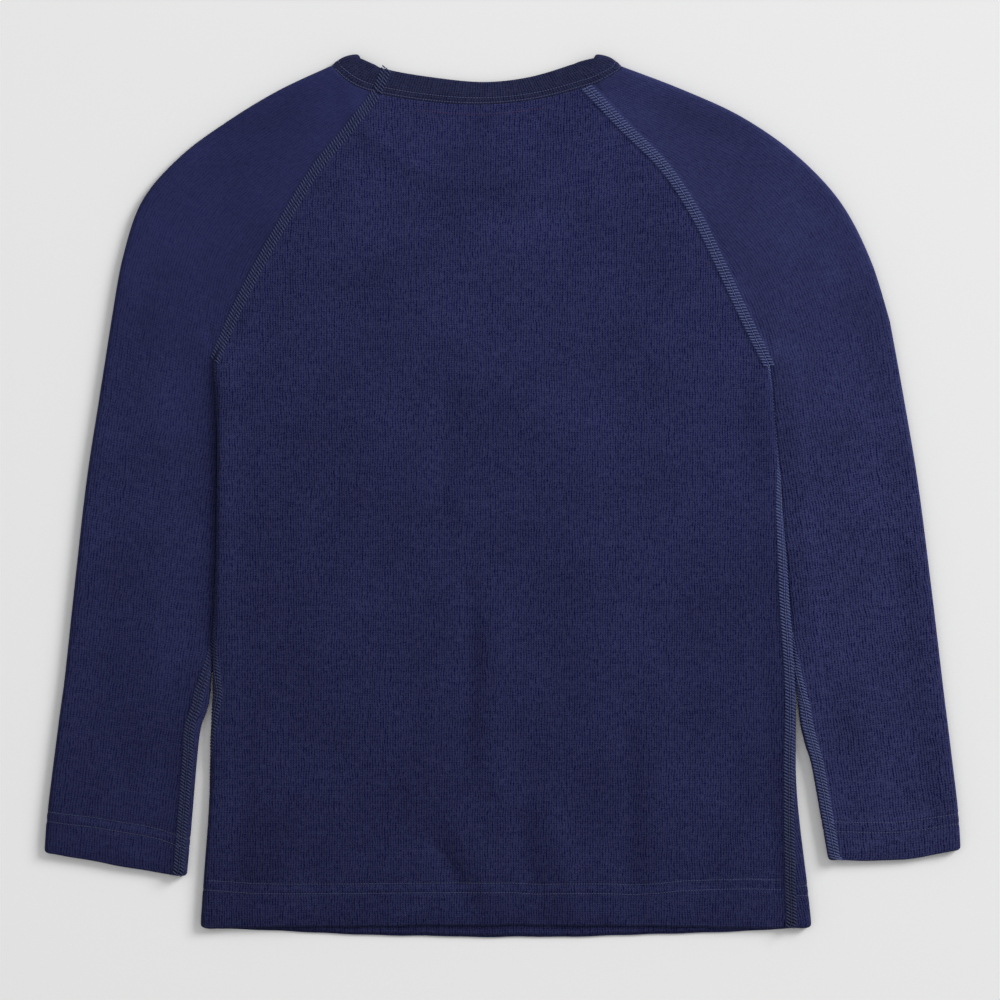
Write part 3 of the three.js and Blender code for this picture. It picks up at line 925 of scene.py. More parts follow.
def sleeve_ring(side: Side, share: float) -> tuple[Track, float, float]:
    """The ring of cloth round a sleeve at a share of its length below the armpit.

    Args:
        side: The sleeve's side.
        share: Share of the sleeve's edges, 0 at the cuff.

    Returns:
        The track, the underarm seam's distance on it, and the length above the cuff.
    """
    sign = side.cut.sign
    above = float(np.linalg.norm(side.inner.at(share)[0] - side.inner.at(0.0)[0]))
    inset = corner_inset(above)
    inner, inner_out = side.fold(side.inner, share, -sign, inset)
    outer, outer_out = side.fold(side.outer, share, sign, inset)
    bow = arc_bow(-side.cut.cuff_bow * max(0.0, 1.0 - above / HEM_BOW_FADE))
    quarter = math.pi / 2
    track = Track(
        [
            Bend(inner, inner_out, 0.0, quarter),
            Flat(inner, outer, bow, sleeve_height(side, turned_up_at(above))),
            Bend(outer, outer_out, quarter, -quarter),
            Flat(outer, inner, bow, None),
            Bend(inner, inner_out, -quarter, 0.0),
        ]
    )
    return track, side.cut.seam("sleeve", share), above


def sleeve_raglan(side: Side, share: float) -> Track:
    """The row of a sleeve from its back raglan seam round the shoulder edge to its front one.

    Args:
        side: The sleeve's side.
        share: Share of the seams, 0 at the armpit.

    Returns:
        The row's track.
    """
    sign = side.cut.sign
    fold, facing = side.fold(side.shoulder, share, sign)
    left = sign < 0
    back = (BACK_SEAM_SHARE, 0.0) if left else (1.0 - BACK_SEAM_SHARE, 1.0)
    front = (0.0, FRONT_SEAM_SHARE) if left else (1.0, 1.0 - FRONT_SEAM_SHARE)
    scale = share**3
    return Track(
        [
            Flat(side.seam_point(side.back, share, 1), fold, bow_of(BACK_NECK_SEAM.at, *back, scale),
                 sleeve_height(side, 0.0)),
            Bend(fold, facing, math.pi / 2, -math.pi / 2),
            Flat(fold, side.seam_point(side.front, share, 1), bow_of(front_neck, *front, scale), None),
        ]
    )


def shares_by_length(line: Line, lengths: Array) -> Array:
    """Shares of a line at which given lengths from its start are reached."""
    shares, sums = line.lengths()
    return np.interp(lengths, sums, shares)


def hem_lengths(whole: float, step: float) -> Array:
    """Row distances from a hem's edge: fine on its rounded edge and its stitch rows, even above.

    Args:
        whole: The last distance.
        step: The step above the hem.

    Returns:
        The distances in order.
    """
    edge = [0.0, 0.12, 0.4, 0.75, 1.15, 1.9, 3.0]
    hem = np.arange(4.4, HEM_DEPTH + 3.0, 0.85)
    count = max(2, int(round((whole - hem[-1]) / step)))
    return np.concatenate([edge, hem, np.linspace(hem[-1], whole, count + 1)[1:]])


@dataclass(frozen=True)
class SeamRelief:
    """Raised strips of flatlock sewing and the rows that the hem stitches pull in.

    Attributes:
        strip_lift: Height of a strip over the upper layer.
        strip_sink: How far it is pressed in underneath.
        hem_pull: How deep the stitch rows pull the cloth in.
    """

    strip_lift: float = 0.42
    strip_sink: float = 0.34
    hem_pull: float = 0.32

    def strip(self, away: Array) -> Array:
        """Profile of a flatlock strip: a low crown, with a low line on each side.

        Args:
            away: Distances from its middle.

        Returns:
            The share of the strip's height.
        """
        share = np.abs(away) / FLATLOCK_HALF
        crown = 1.0 - 0.35 * np.minimum(share, 1.0) ** 2
        raised = crown * (1.0 - smoothstep(np.abs(away), FLATLOCK_HALF - 0.3, FLATLOCK_HALF + 1.2))
        return raised - 0.3 * bump(np.abs(away) - FLATLOCK_HALF - 1.2, 0.8)

    def rows(self, edge_distance: float, rise: Array) -> Array:
        """How far rows of stitches pull the cloth in at a distance from the hem's edge."""
        return self.hem_pull * sum(bump(edge_distance - row - rise, 0.8) for row in STITCH_ROWS)

    def pucker(self, edge_distance: float, across: Array) -> Array:
        """Small gathers between the stitches and the hem's edge.

        Args:
            edge_distance: Distance from the hem's edge.
            across: Places across the knit.

        Returns:
            The move at each place.
        """
        reach = float(smoothstep(edge_distance, 0.0, 4.0) * (1.0 - smoothstep(edge_distance, 20.0, 34.0)))
        wave = np.sin(across / 2.1 + 1.7 * np.sin(across / 13.0)) * (0.6 + 0.4 * np.sin(across / 23.0))
        return 0.10 * reach * wave


RELIEF = SeamRelief()


@dataclass
class ClothSheet:
    """The outer face of one cloth piece before it gets its thickness.

    Attributes:
        points: Grid of places, rows by columns by 3, in millimetres.
        thickness: Grid of wall thicknesses.
        across: Grid of the knit's own distance across.
        along: Grid of the knit's own distance along.
    """

    points: Array
    thickness: Array
    across: Array
    along: Array


@dataclass(kw_only=True)
class ClothPiece:
    """A cut piece of knit: rows of cloth that become a mesh with its wall and its finish.

    Attributes:
        name: Name of the piece.
        node: The solid that it stands for.
        columns: Columns of its mesh.
        fine: Width of a column at a bend.
        coarse: Width of a column on the flat.
        row_step: Distance between rows above the hem.
        mirrored: Whether its rows run against those of the other pieces.
    """

    name: str
    node: str
    columns: int = 150
    fine: float = 0.8
    coarse: float = 2.6
    row_step: float = 2.7
    mirrored: bool = False

    def rows(self) -> list[Row]:
        """The rows of the piece, from the hem up."""
        raise NotImplementedError

    def raglan_distance(self, places: Places) -> Array:
        """Distance from places above the armpit to the piece's raglan seams."""
        raise NotImplementedError

    def row_rise(self, across: Array) -> Array:
        """How much further from the edge the rows of hem stitches lie, at places across."""
        raise NotImplementedError

    def settled(self, points: Array) -> Array:
        """The places as they lie beside the next piece."""
        raise NotImplementedError

    def seam_strips(self, row: Row, distance: Array, places: Places) -> Array:
        """Share of flatlock strip along a row: at both ends of a ring, or beside the raglan seams above.

        Args:
            row: The row.
            distance: Distances along its track.
            places: The places there.

        Returns:
            The share at each place.
        """
        if row.edge_distance < NO_EDGE:
            return RELIEF.strip(distance - row.start) + RELIEF.strip(distance - row.end)
        return RELIEF.strip(self.raglan_distance(places))

    def row_arrays(self, row: Row) -> tuple[Array, Array, Array]:
        """Works out one row.

        Args:
            row: The row.

        Returns:
            Its places with their relief, their wall thickness, and their distance across the knit.
        """
        distance = row.track.stations(row.start, row.end, self.columns, self.fine, self.coarse)
        places = row.track.at(distance)
        across = distance - row.across_zero
        wall = mix(CLOTH, HEM_CLOTH, row.turned_up)
        radius = wall / 2
        drop = 0.0
        if row.edge_distance < radius:
            drop = radius - math.sqrt(max(radius**2 - (radius - row.edge_distance) ** 2, 0.0))
        under = places.normals[:, 2] < UNDERSIDE
        strip = self.seam_strips(row, distance, places)
        lift = np.where(under, -RELIEF.strip_sink * np.clip(strip, 0, 1), RELIEF.strip_lift * strip)
        pulled = RELIEF.rows(row.edge_distance, self.row_rise(places.points[:, 0]))
        lift -= pulled * (1.0 - np.clip(strip, 0.0, 1.0))
        rolled = 1.0 - smoothstep(row.edge_distance, 0.0, HEM_ROLL_WIDTH)
        lift -= HEM_ROLL * rolled * np.maximum(places.normals[:, 2], 0)
        lift += np.where(under, 0.0, RELIEF.pucker(row.edge_distance, across))
        points = self.settled(places.points + places.normals * (lift - drop)[:, None])
        points[:, 1] += edge_wave(points[:, 0], row.edge_distance)
        points[:, 2] = np.maximum(points[:, 2], 0.0)
        thickness = np.full(len(distance), max(wall - 2.0 * drop, THIN_EDGE))
        return points, thickness, across

    def sheet(self) -> ClothSheet:
        """Works out the whole piece.

        Returns:
            Its grids.
        """
        points, thickness, across, along = [], [], [], []
        for row in self.rows():
            row_points, row_thickness, row_across = self.row_arrays(row)
            points.append(row_points)
            thickness.append(row_thickness)
            across.append(row_across)
            along.append(np.full(len(row_across), row.along))
        grids = [np.array(grid) for grid in (points, thickness, across, along)]
        if self.mirrored:
            grids = [grid[:, ::-1] for grid in grids]
        return ClothSheet(*grids)

    def build(self, material: Material) -> Object:
        """Makes the piece's object with its wall, knit coordinates and finish."""
        return sheet_object(self.name, self.sheet(), material)


def placed(name: str, data: ID) -> Object:
    """Makes an object in the scene, at the origin.

    Args:
        name: Its name.
        data: Its mesh, light or camera.

    Returns:
        The object.
    """
    made = bpy.data.objects.new(name, data)
    bpy.context.scene.collection.objects.link(made)
    return made


def sheet_object(name: str, sheet: ClothSheet, material: Material,
                 ring: bool = False) -> Object:
    """Turns grids of places into a smooth cloth object with a wall.

    Args:
        name: Name of the object.
        sheet: The grids.
        material: The finish.
        ring: Whether the last column meets the first.

    Returns:
        The object, at the origin, with its place in its mesh.
    """
    row_count, column_count = sheet.thickness.shape
    bm = bmesh.new()
    bmesh.ops.create_grid(bm, x_segments=column_count - 1, y_segments=row_count - 1, size=1.0)
    uv = bm.loops.layers.uv.new("knit")
    weights = bm.verts.layers.deform.verify()
    bm.verts.ensure_lookup_table()
    cells = [
        (round((vert.co.y + 1.0) / 2.0 * (row_count - 1)), round((vert.co.x + 1.0) / 2.0 * (column_count - 1)))
        for vert in bm.verts
    ]
    for vert, (row, column) in zip(bm.verts, cells):
        vert.co = Vector(sheet.points[row, column]) * MM
        vert[weights][0] = float(sheet.thickness[row, column] / HEM_CLOTH)
    for face in bm.faces:
        face.smooth = True
        for loop in face.loops:
            row, column = cells[loop.vert.index]
            loop[uv].uv = (sheet.across[row, column] * MM, sheet.along[row, column] * MM)
    if ring:
        bmesh.ops.remove_doubles(bm, verts=bm.verts[:], dist=1e-6)
    mesh = bpy.data.meshes.new(name)
    bm.to_mesh(mesh)
    bm.free()
    piece = placed(name, mesh)
    piece.vertex_groups.new(name="wall")
    wall = piece.modifiers.new("wall", "SOLIDIFY")
    wall.thickness = HEM_CLOTH * MM
    wall.offset = -1.0
    wall.vertex_group = "wall"
    wall.use_even_offset = False
    piece.data.materials.append(material)
    return piece


@dataclass(kw_only=True)
class BodyPanel(ClothPiece):
    """The back or the front panel: rings below the armpits, then rows between the raglan seams.

    Attributes:
        layer: The layer in which the panel lies.
    """

    layer: Layer

    def rows(self) -> list[Row]:
        """Works out the rows.

        Returns:
            The rows from the hem to the neckline.
        """
        left_body = SIDES[-1].body
        whole = left_body.lengths()[1][-1]
        shares = shares_by_length(left_body, hem_lengths(whole, self.row_step))
        rows = [self.ring_row(share) for share in shares]
        seam = SIDES[-1].back
        count = int(round(seam.lengths()[1][-1] / self.row_step))
        last = rows[-1]
        for share in np.linspace(0.0, 1.0, count + 1)[1:]:
            rows.append(self.raglan_row(float(share), last.along))
        return rows

    def ring_row(self, share: float) -> Row:
        """A row below the armpits.

        Args:
            share: Share of the side edges, 0 at the hem.

        Returns:
            The row.
        """
        track, left_seam, right_seam, above = body_ring(share)
        half = SEAM_GAP / 2
        quarter = track.stretches[0].length
        left_x = float(track.stretches[1].start[0])
        if self.layer is Layer.UPPER:
            start, end, zero = left_seam + half, right_seam - half, quarter - left_x
        else:
            start, end = right_seam + half, track.length + left_seam - half
            zero = track.length - quarter + left_x
        return Row(track, start, end, turned_up_at(above), above, zero, above)

    def raglan_row(self, share: float, base: float) -> Row:
        """A row between the raglan seams.

        Args:
            share: Share of the seams, 0 at the armpits.
            base: The knit's own length at the armpits.

        Returns:
            The row.
        """
        left, right = SIDES[-1], SIDES[1]
        if self.layer is Layer.UPPER:
            start, end = left.seam_point(left.back, share, -1), right.seam_point(right.back, share, -1)
            bow = bow_of(BACK_NECK_SEAM.at, BACK_SEAM_SHARE, 1.0 - BACK_SEAM_SHARE, share)
            height = body_height(0.0)
        else:
            start, end = right.seam_point(right.front, share, -1), left.seam_point(left.front, share, -1)
            bow = bow_of(front_neck, 1.0 - FRONT_SEAM_SHARE, FRONT_SEAM_SHARE, share)
            height = None
        track = Track([Flat(start, end, bow, height)])
        middle = (start[1] + end[1]) / 2 - (left.back.at(0.0)[0][1] + right.back.at(0.0)[0][1]) / 2
        return Row(track, 0.0, track.length, 0.0, NO_EDGE, abs(float(start[0])), base + middle)

    def row_rise(self, across: Array) -> Array:
        """The back's rows of hem stitches wander, the front's are even."""
        return rise_at(BACK_ROW_RISE, across) if self.layer is Layer.UPPER else np.zeros_like(across)

    def settled(self, points: Array) -> Array:
        """The panel's places, raised over the tucked sleeves."""
        return SIDES[1].puffed(SIDES[-1].puffed(points))

    def raglan_distance(self, places: Places) -> Array:
        """Distance to the nearer one of the panel's two raglan seams.

        Args:
            places: The places.

        Returns:
            The distance for each place.
        """
        x, y, _ = places.points.T
        lines = [side.back if self.layer is Layer.UPPER else side.front for side in SIDES.values()]
        return np.min([distance_to(line.at(SEAM_SHARES), x, y) for line in lines], axis=0)


@dataclass(kw_only=True)
class Sleeve(ClothPiece):
    """A raglan sleeve: rings below the armpit, then rows round the shoulder edge.

    Attributes:
        side: The side it is on.
        columns: Columns of its mesh.
    """

    side: Side
    columns: int = 118

    def __post_init__(self) -> None:
        """The left sleeve's rows run the other way round."""
        self.mirrored = self.side.cut.sign < 0

    def rows(self) -> list[Row]:
        """Works out the rows.

        Returns:
            The rows from the cuff to the neck.
        """
        inner = self.side.inner
        whole = inner.lengths()[1][-1]
        rows = [self.ring_row(share) for share in shares_by_length(inner, hem_lengths(whole, self.row_step))]
        shoulder = self.side.shoulder
        length = shoulder.lengths()[1][-1]
        count = int(round(length / self.row_step))
        base = rows[-1].along
        for share in np.linspace(0.0, 1.0, count + 1)[1:]:
            track = sleeve_raglan(self.side, float(share))
            zero = track.stretches[0].length + track.stretches[1].length / 2
            rows.append(Row(track, 0.0, track.length, 0.0, NO_EDGE, zero, base + float(share) * length))
        return rows

    def ring_row(self, share: float) -> Row:
        """A row below the armpit.

        Args:
            share: Share of the inner edge, 0 at the cuff.

        Returns:
            The row.
        """
        track, seam, above = sleeve_ring(self.side, share)
        half = SEAM_GAP / 2
        lengths = [stretch.length for stretch in track.stretches]
        zero = lengths[0] + lengths[1] + lengths[2] / 2
        return Row(track, seam + half, track.length + seam - half, turned_up_at(above), above, zero, above)

    def row_rise(self, across: Array) -> Array:
        """The rise of the cuff's rows of stitches, from the side's table."""
        return rise_at(self.side.cut.row_rise, np.abs(across))

    def settled(self, points: Array) -> Array:
        """The sleeve's places, pressed down beside the body."""
        return self.side.pressed(points)

    def raglan_distance(self, places: Places) -> Array:
        """Distance to the back raglan seam in the upper layer, and to the front one in the lower.

        Args:
            places: The places.

        Returns:
            The distance for each place.
        """
        x, y, _ = places.points.T
        back, front = (distance_to(line.at(SEAM_SHARES), x, y) for line in (self.side.back, self.side.front))
        return np.where(places.normals[:, 2] > 0, back, front)


# The left raglan seam's sewing runs on over the neckband, from its seam edge to its free edge
BAND_STRIP = np.array([(-73.0, 233.1), (-67.2, 247.5)])


def band_height(x: Array, y: Array, across: Array) -> Array:
    """Height of the neckband's outer face on the upper layer, which its stitches hold down along the seam edge.

    Args:
        x: Places across the top.
        y: Places up.
        across: Shares of the band's width, from its seam edge.

    Returns:
        The height for each place.
    """
    edges = [BACK_NECK[0].reshape(2, 2), BACK_NECK[-1].reshape(2, 2)]
    away = np.minimum(distance_to(edges[0], x, y), distance_to(edges[1], x, y))
    sunk = BAND_SINK * (1.0 - smoothstep(across * BAND_WIDTH, *BAND_SINK_REACH))
    return LAY.settled(LAY.top(x, y, 0.0) + BAND_LIFT - sunk, away)


@dataclass
class BandStretch:
    """A stretch of the neckband between two cross lines, each from the seam edge to the free edge.

    Attributes:
        seam: Gives points of the seam edge for shares.
        free: Gives points of the free edge for shares.
        layer: The layer in which it lies.
        count: Columns of the mesh in it.
    """

    seam: Curve
    free: Curve
    layer: Layer
    count: int

    def places(self, share: float, across: Array) -> Places:
        """Places across the band.

        Args:
            share: Share of the stretch's length.
            across: Shares of the band's width, from its seam edge.

        Returns:
            One place for each share across.
        """
        seam, free = self.seam(np.array([share]))[0], self.free(np.array([share]))[0]
        place = seam + (free - seam) * across[:, None]
        if self.layer is Layer.LOWER:
            return underneath(place)
        return on_top(place, band_height(*place.T, across))


@dataclass
class BandTurn:
    """The band's half turn at a shoulder edge.

    Attributes:
        seam: Centre of the turn at the seam edge.
        free: Centre at the free edge.
        seam_facing: The way the turn faces at the seam edge.
        free_facing: The way it faces at the free edge.
        start: First angle.
        end: Last angle.
        count: Columns of the mesh in it.
    """

    seam: Array
    free: Array
    seam_facing: Array
    free_facing: Array
    start: float
    end: float
    count: int = 14

    def places(self, share: float, across: Array) -> Places:
        """Places across the band.

        Args:
            share: Share of the turn.
            across: Shares of the band's width, from its seam edge.

        Returns:
            One place for each share across.
        """
        angle = mix(self.start, self.end, share)
        facing = mix(self.seam_facing, self.free_facing, across[:, None])
        facing /= np.linalg.norm(facing, axis=1)[:, None]
        normals = np.column_stack([facing * math.cos(angle), np.full(len(across), math.sin(angle))])
        bulge = BAND_END_BULGE * 4.0 * across * (1.0 - across)
        centre = self.seam + (self.free - self.seam) * across[:, None] + facing * bulge[:, None]
        middle = np.column_stack([centre, np.full(len(across), FOLD_RADIUS)])
        return Places(middle + FOLD_RADIUS * normals, normals)


@dataclass(frozen=True)
class Neckband:
    """The folded rib binding round the neck, one closed ring.

    Attributes:
        seam_edge_radius: Radius of its rounded seam edge.
        free_edge_radius: Radius of its rounded free edge.
        across_shares: Shares of its width where the mesh has rows.
        stitch_shares: Shares of its width where the stitch rows lie.
        overlap: How far its ends lie over the sleeves.
        stitch_pull: How deep the stitch rows pull it in.
    """

    seam_edge_radius: float = 0.45
    free_edge_radius: float = 1.05
    across_shares: tuple[float, ...] = (
        0.0, 0.012, 0.035, 0.07, 0.11, 0.17, 0.22, 0.28, 0.34, 0.42,
        0.52, 0.62, 0.72, 0.81, 0.87, 0.92, 0.955, 0.98, 0.993, 1.0,
    )
    stitch_shares: tuple[float, float] = (0.07, 0.28)
    overlap: float = 0.6
    stitch_pull: float = 0.3

    def stretches(self) -> list[BandStretch | BandTurn]:
        """Works out the band's stretches.

        Returns:
            The stretches in order, from the left shoulder edge along the back.
        """
        quarter = math.pi / 2
        ends = {}
        for sign, row in ((-1, BACK_NECK[0]), (1, BACK_NECK[-1])):
            side = SIDES[sign]
            centre, facing = side.fold(side.shoulder, 1.0, sign)
            free = row[2:4]
            along = (free - side.shoulder.at(1.0)[0]) / np.linalg.norm(free - side.shoulder.at(1.0)[0])
            free_facing = np.array([sign * along[1], -sign * along[0]])
            free_centre = free - free_facing * (FOLD_RADIUS + SEAM_GAP / 2)
            ends[sign] = (centre - along * self.overlap, free_centre, facing, free_facing)
        a, b = BACK_SEAM_SHARE, FRONT_SEAM_SHARE
        left, right = ends[-1], ends[1]

        def run(curve: Curve, start: float, end: float, first: Array | None,
                last: Array | None) -> Curve:
            """A stretch of a curve, drawn to other ends where they are given.

            Args:
                curve: Gives points for shares.
                start: Share where the stretch starts.
                end: Share where it ends.
                first: Another first point, if it has one.
                last: Another last point.

            Returns:
                A function from shares of the stretch to points.
            """
            begin = curve(np.array([start]))[0] if first is None else first
            finish = curve(np.array([end]))[0] if last is None else last
            bow = bow_of(curve, start, end)
            return lambda share: begin + (finish - begin) * share[:, None] + bow(share)

        back, free = BACK_NECK_SEAM.at, BACK_NECK_FREE.at
        return [
            BandStretch(run(back, 0, a, left[0], None), run(free, 0, a, left[1], None), Layer.UPPER, 14),
            BandStretch(run(back, a, 1 - a, None, None), run(free, a, 1 - a, None, None), Layer.UPPER, 64),
            BandStretch(run(back, 1 - a, 1, None, right[0]), run(free, 1 - a, 1, None, right[1]),
                        Layer.UPPER, 14),
            BandTurn(right[0], right[1], right[2], right[3], quarter, -quarter),
            BandStretch(run(front_neck, 1, 1 - b, right[0], None),
                        run(front_neck_free, 1, 1 - b, right[1], None), Layer.LOWER, 14),
            BandStretch(run(front_neck, 1 - b, b, None, None),
                        run(front_neck_free, 1 - b, b, None, None), Layer.LOWER, 90),
            BandStretch(run(front_neck, b, 0, None, left[0]),
                        run(front_neck_free, b, 0, None, left[1]), Layer.LOWER, 14),
            BandTurn(left[0], left[1], left[2], left[3], -quarter, quarter),
        ]

    def relief(self, across: Array) -> Array:
        """How far the stitch rows pull the band in, across it."""
        return self.stitch_pull * sum(bump((across - share) * BAND_WIDTH, 0.7) for share in self.stitch_shares)

    def sheet(self) -> ClothSheet:
        """Works out the whole ring.

        Returns:
            Its grids, with rows from the seam edge to the free edge.
        """
        across = np.array(self.across_shares)
        edge = np.minimum(across, 1.0 - across) * BAND_WIDTH
        radius = np.where(across < 0.5, self.seam_edge_radius, self.free_edge_radius)
        drop = np.where(edge < radius, radius - np.sqrt(np.maximum(radius**2 - (radius - edge) ** 2, 0)), 0)
        columns, lengths, length, before = [], [], 0.0, None
        for stretch in self.stretches():
            for step in range(stretch.count):
                places = stretch.places(step / stretch.count, across)
                middle = places.points[len(across) // 2]
                length += 0.0 if before is None else float(np.linalg.norm(middle - before))
                before = middle
                lengths.append(length)
                lift = -drop - self.relief(across) * (0.6 if places.normals[0, 2] < UNDERSIDE else 1.0)
                if places.normals[0, 2] > -UNDERSIDE:
                    away = distance_to(BAND_STRIP, places.points[:, 0], places.points[:, 1])
                    lift += RELIEF.strip_lift * RELIEF.strip(away)
                points = places.points + places.normals * lift[:, None]
                points[:, 2] = np.maximum(points[:, 2], 0.0)
                columns.append(points)
        columns.append(columns[0])
        lengths.append(length + float(np.linalg.norm(columns[0][len(across) // 2] - before)))
        points = np.array(columns).transpose(1, 0, 2)
        count = len(lengths)
        thickness = np.tile(np.maximum(BAND_CLOTH - 2.0 * drop, 0.15)[:, None], (1, count))
        along = np.tile((across * BAND_WIDTH)[:, None], (1, count))
        return ClothSheet(points, thickness, np.tile(lengths, (len(across), 1)), along)

    def build(self, material: Material) -> Object:
        """Makes the band's object."""
        return sheet_object("neckband_rib", self.sheet(), material, ring=True)


class NodeGroups:
    """Shader node groups that more than one finish uses."""

    def __init__(self) -> None:
        """Builds the groups."""
        self.knit = self.knit_group()
        self.dye_and_light = self.dye_and_painted_light_group()

    @staticmethod
    def socket(group: NodeTree, name: str, out: bool, kind: str, value: float | None = None) -> None:
        """Adds one socket to a group.

        Args:
            group: The group.
            name: The socket's name.
            out: Whether it is an output.
            kind: Float, Vector or Color.
            value: Its starting value, if it has one.
        """
        made = group.interface.new_socket(
            name=name, in_out="OUTPUT" if out else "INPUT", socket_type=f"NodeSocket{kind}"
        )
        if value is not None:
            made.default_value = value

    def maths(self, group: NodeTree, operation: str, *inputs: object) -> NodeSocket:
        """Adds a Math node.

        Args:
            group: The group.
            operation: What it works out.
            *inputs: Sockets or numbers.

        Returns:
            Its output.
        """
        node = group.nodes.new("ShaderNodeMath")
        node.operation = operation
        for slot, value in enumerate(inputs):
            if isinstance(value, (int, float)):
                node.inputs[slot].default_value = value
            else:
                group.links.new(value, node.inputs[slot])
        return node.outputs[0]

    def noise(self, group: NodeTree, place: object, scale: float, detail: float) -> NodeSocket:
        """Adds a Noise Texture node.

        Args:
            group: The group.
            place: The vector socket that it reads.
            scale: Its scale.
            detail: Its detail.

        Returns:
            Its value.
        """
        node = group.nodes.new("ShaderNodeTexNoise")
        node.inputs["Scale"].default_value = scale
        node.inputs["Detail"].default_value = detail
        node.inputs["Roughness"].default_value = 0.6
        group.links.new(place, node.inputs["Vector"])
        return node.outputs[0]

    def knit_group(self) -> NodeTree:
        """Columns of knit stitches.

        Returns:
            A group that gives their height, and a tone from 0 in gaps and streaks with painted shade to 1 on
            loops with painted highlight.
        """
        group = bpy.data.node_groups.new("knit_loops", "ShaderNodeTree")
        self.socket(group, "Knit", False, "Vector")
        self.socket(group, "Wale", False, "Float", 0.0014)
        self.socket(group, "Course", False, "Float", 0.0011)
        self.socket(group, "Height", True, "Float")
        self.socket(group, "Tone", True, "Float")
        start = group.nodes.new("NodeGroupInput")
        end = group.nodes.new("NodeGroupOutput")
        split = group.nodes.new("ShaderNodeSeparateXYZ")
        group.links.new(start.outputs["Knit"], split.inputs[0])
        wander = self.noise(group, start.outputs["Knit"], 60.0, 2.0)
        offset = self.maths(group, "MULTIPLY", self.maths(group, "SUBTRACT", wander, 0.5), 2.0)
        wale = self.maths(group, "DIVIDE", split.outputs[0], start.outputs["Wale"])
        wale = self.maths(group, "ADD", wale, offset)
        course = self.maths(group, "DIVIDE", split.outputs[1], start.outputs["Course"])
        column = self.maths(group, "SINE", self.maths(group, "MULTIPLY", wale, math.pi))
        column = self.maths(group, "ABSOLUTE", column)
        phase = self.maths(group, "MULTIPLY_ADD", column, 0.5, course)
        loop = self.maths(group, "SINE", self.maths(group, "MULTIPLY", phase, 2.0 * math.pi))
        stitch = self.maths(group, "MULTIPLY_ADD", loop, 0.5, 0.5)

        # The gap beside each column is deep or shallow for some millimetres and gets painted shade to match, and
        # the yarn has small flecks
        number, along = self.maths(group, "ROUND", wale), split.outputs[1]
        beside = group.nodes.new("ShaderNodeCombineXYZ")
        group.links.new(self.maths(group, "MULTIPLY", number, 0.9), beside.inputs["X"])
        group.links.new(self.maths(group, "MULTIPLY", along, 230.0), beside.inputs["Y"])
        depth = group.nodes.new("ShaderNodeMapRange")
        depth.inputs["From Min"].default_value = 0.32
        depth.inputs["From Max"].default_value = 0.68
        depth.inputs["To Min"].default_value = 0.05
        group.links.new(self.noise(group, beside.outputs[0], 1.0, 2.0), depth.inputs["Value"])
        gap_shade = self.maths(group, "MULTIPLY", self.maths(group, "SUBTRACT", 1.0, column), depth.outputs[0])
        fleck = self.noise(group, start.outputs["Knit"], 1250.0, 1.0)

        # Each row of stitches is a little lighter or darker than the next one
        number, across = self.maths(group, "ROUND", course), split.outputs[0]
        beneath = group.nodes.new("ShaderNodeCombineXYZ")
        group.links.new(self.maths(group, "MULTIPLY", across, 110.0), beneath.inputs["X"])
        group.links.new(self.maths(group, "MULTIPLY", number, 1.37), beneath.inputs["Y"])
        row = self.maths(group, "SUBTRACT", self.noise(group, beneath.outputs[0], 1.0, 1.0), 0.5)

        height = self.maths(group, "MULTIPLY_ADD", column, 0.72, self.maths(group, "MULTIPLY", stitch, 0.28))
        # The tone follows the relief: painted highlight on the loops, painted shade in the gaps
        marks = self.maths(group, "MULTIPLY", fleck, FLECK_TONE)
        marks = self.maths(group, "MULTIPLY_ADD", stitch, STITCH_HIGHLIGHT_TONE, marks)
        marks = self.maths(group, "MULTIPLY_ADD", row, ROW_TONE, marks)
        marks = self.maths(group, "MULTIPLY_ADD", gap_shade, -GAP_SHADE_TONE, marks)
        tone = self.maths(group, "ADD", marks, BASE_TONE)
        group.links.new(height, end.inputs["Height"])
        group.links.new(tone, end.inputs["Tone"])
        return group

    def dye_and_painted_light_group(self) -> NodeTree:
        """Uneven dye and nap, with painted light.

        Returns:
            A group that gives a level near 1 with painted light, lighter towards the right and the top and lower
            towards the left of the hem, and a brightness with flecks.
        """
        group = bpy.data.node_groups.new("uneven_dye_and_painted_light", "ShaderNodeTree")
        self.socket(group, "Knit", False, "Vector")
        self.socket(group, "Brightness", True, "Float")
        self.socket(group, "Level", True, "Float")
        start = group.nodes.new("NodeGroupInput")
        end = group.nodes.new("NodeGroupOutput")
        slow, fine = (
            self.maths(group, "MULTIPLY_ADD", self.noise(group, start.outputs["Knit"], scale, detail), span, low)
            for scale, detail, span, low in ((19.0, 4.0, 0.62, 0.69), (260.0, 2.0, 0.22, 0.89))
        )
        place = group.nodes.new("ShaderNodeTexCoord")
        # Painted light: the level rises towards the right and the top of the garment, as if lit from there
        painted_light_slope = group.nodes.new("ShaderNodeVectorMath")
        painted_light_slope.operation = "DOT_PRODUCT"
        painted_light_slope.inputs[1].default_value = PAINTED_LIGHT_SLOPE
        group.links.new(place.outputs["Object"], painted_light_slope.inputs[0])
        level = self.maths(group, "ADD", painted_light_slope.outputs["Value"], DYE_LEVEL)
        brightness = self.maths(group, "MULTIPLY", self.maths(group, "MULTIPLY", slow, fine), level)
        group.links.new(brightness, end.inputs["Brightness"])
        group.links.new(level, end.inputs["Level"])
        return group


def new_material(name: str, roughness: float, specular: float) -> Material:
    """Makes a material.

    Args:
        name: Its name.
        roughness: Its shader's roughness.
        specular: Its shader's specular level.

    Returns:
        The material.
    """
    material = bpy.data.materials.new(name)
    material.use_nodes = True
    shader = material.node_tree.nodes["Principled BSDF"]
    shader.inputs["Roughness"].default_value = roughness
    shader.inputs["Specular IOR Level"].default_value = specular
    return material


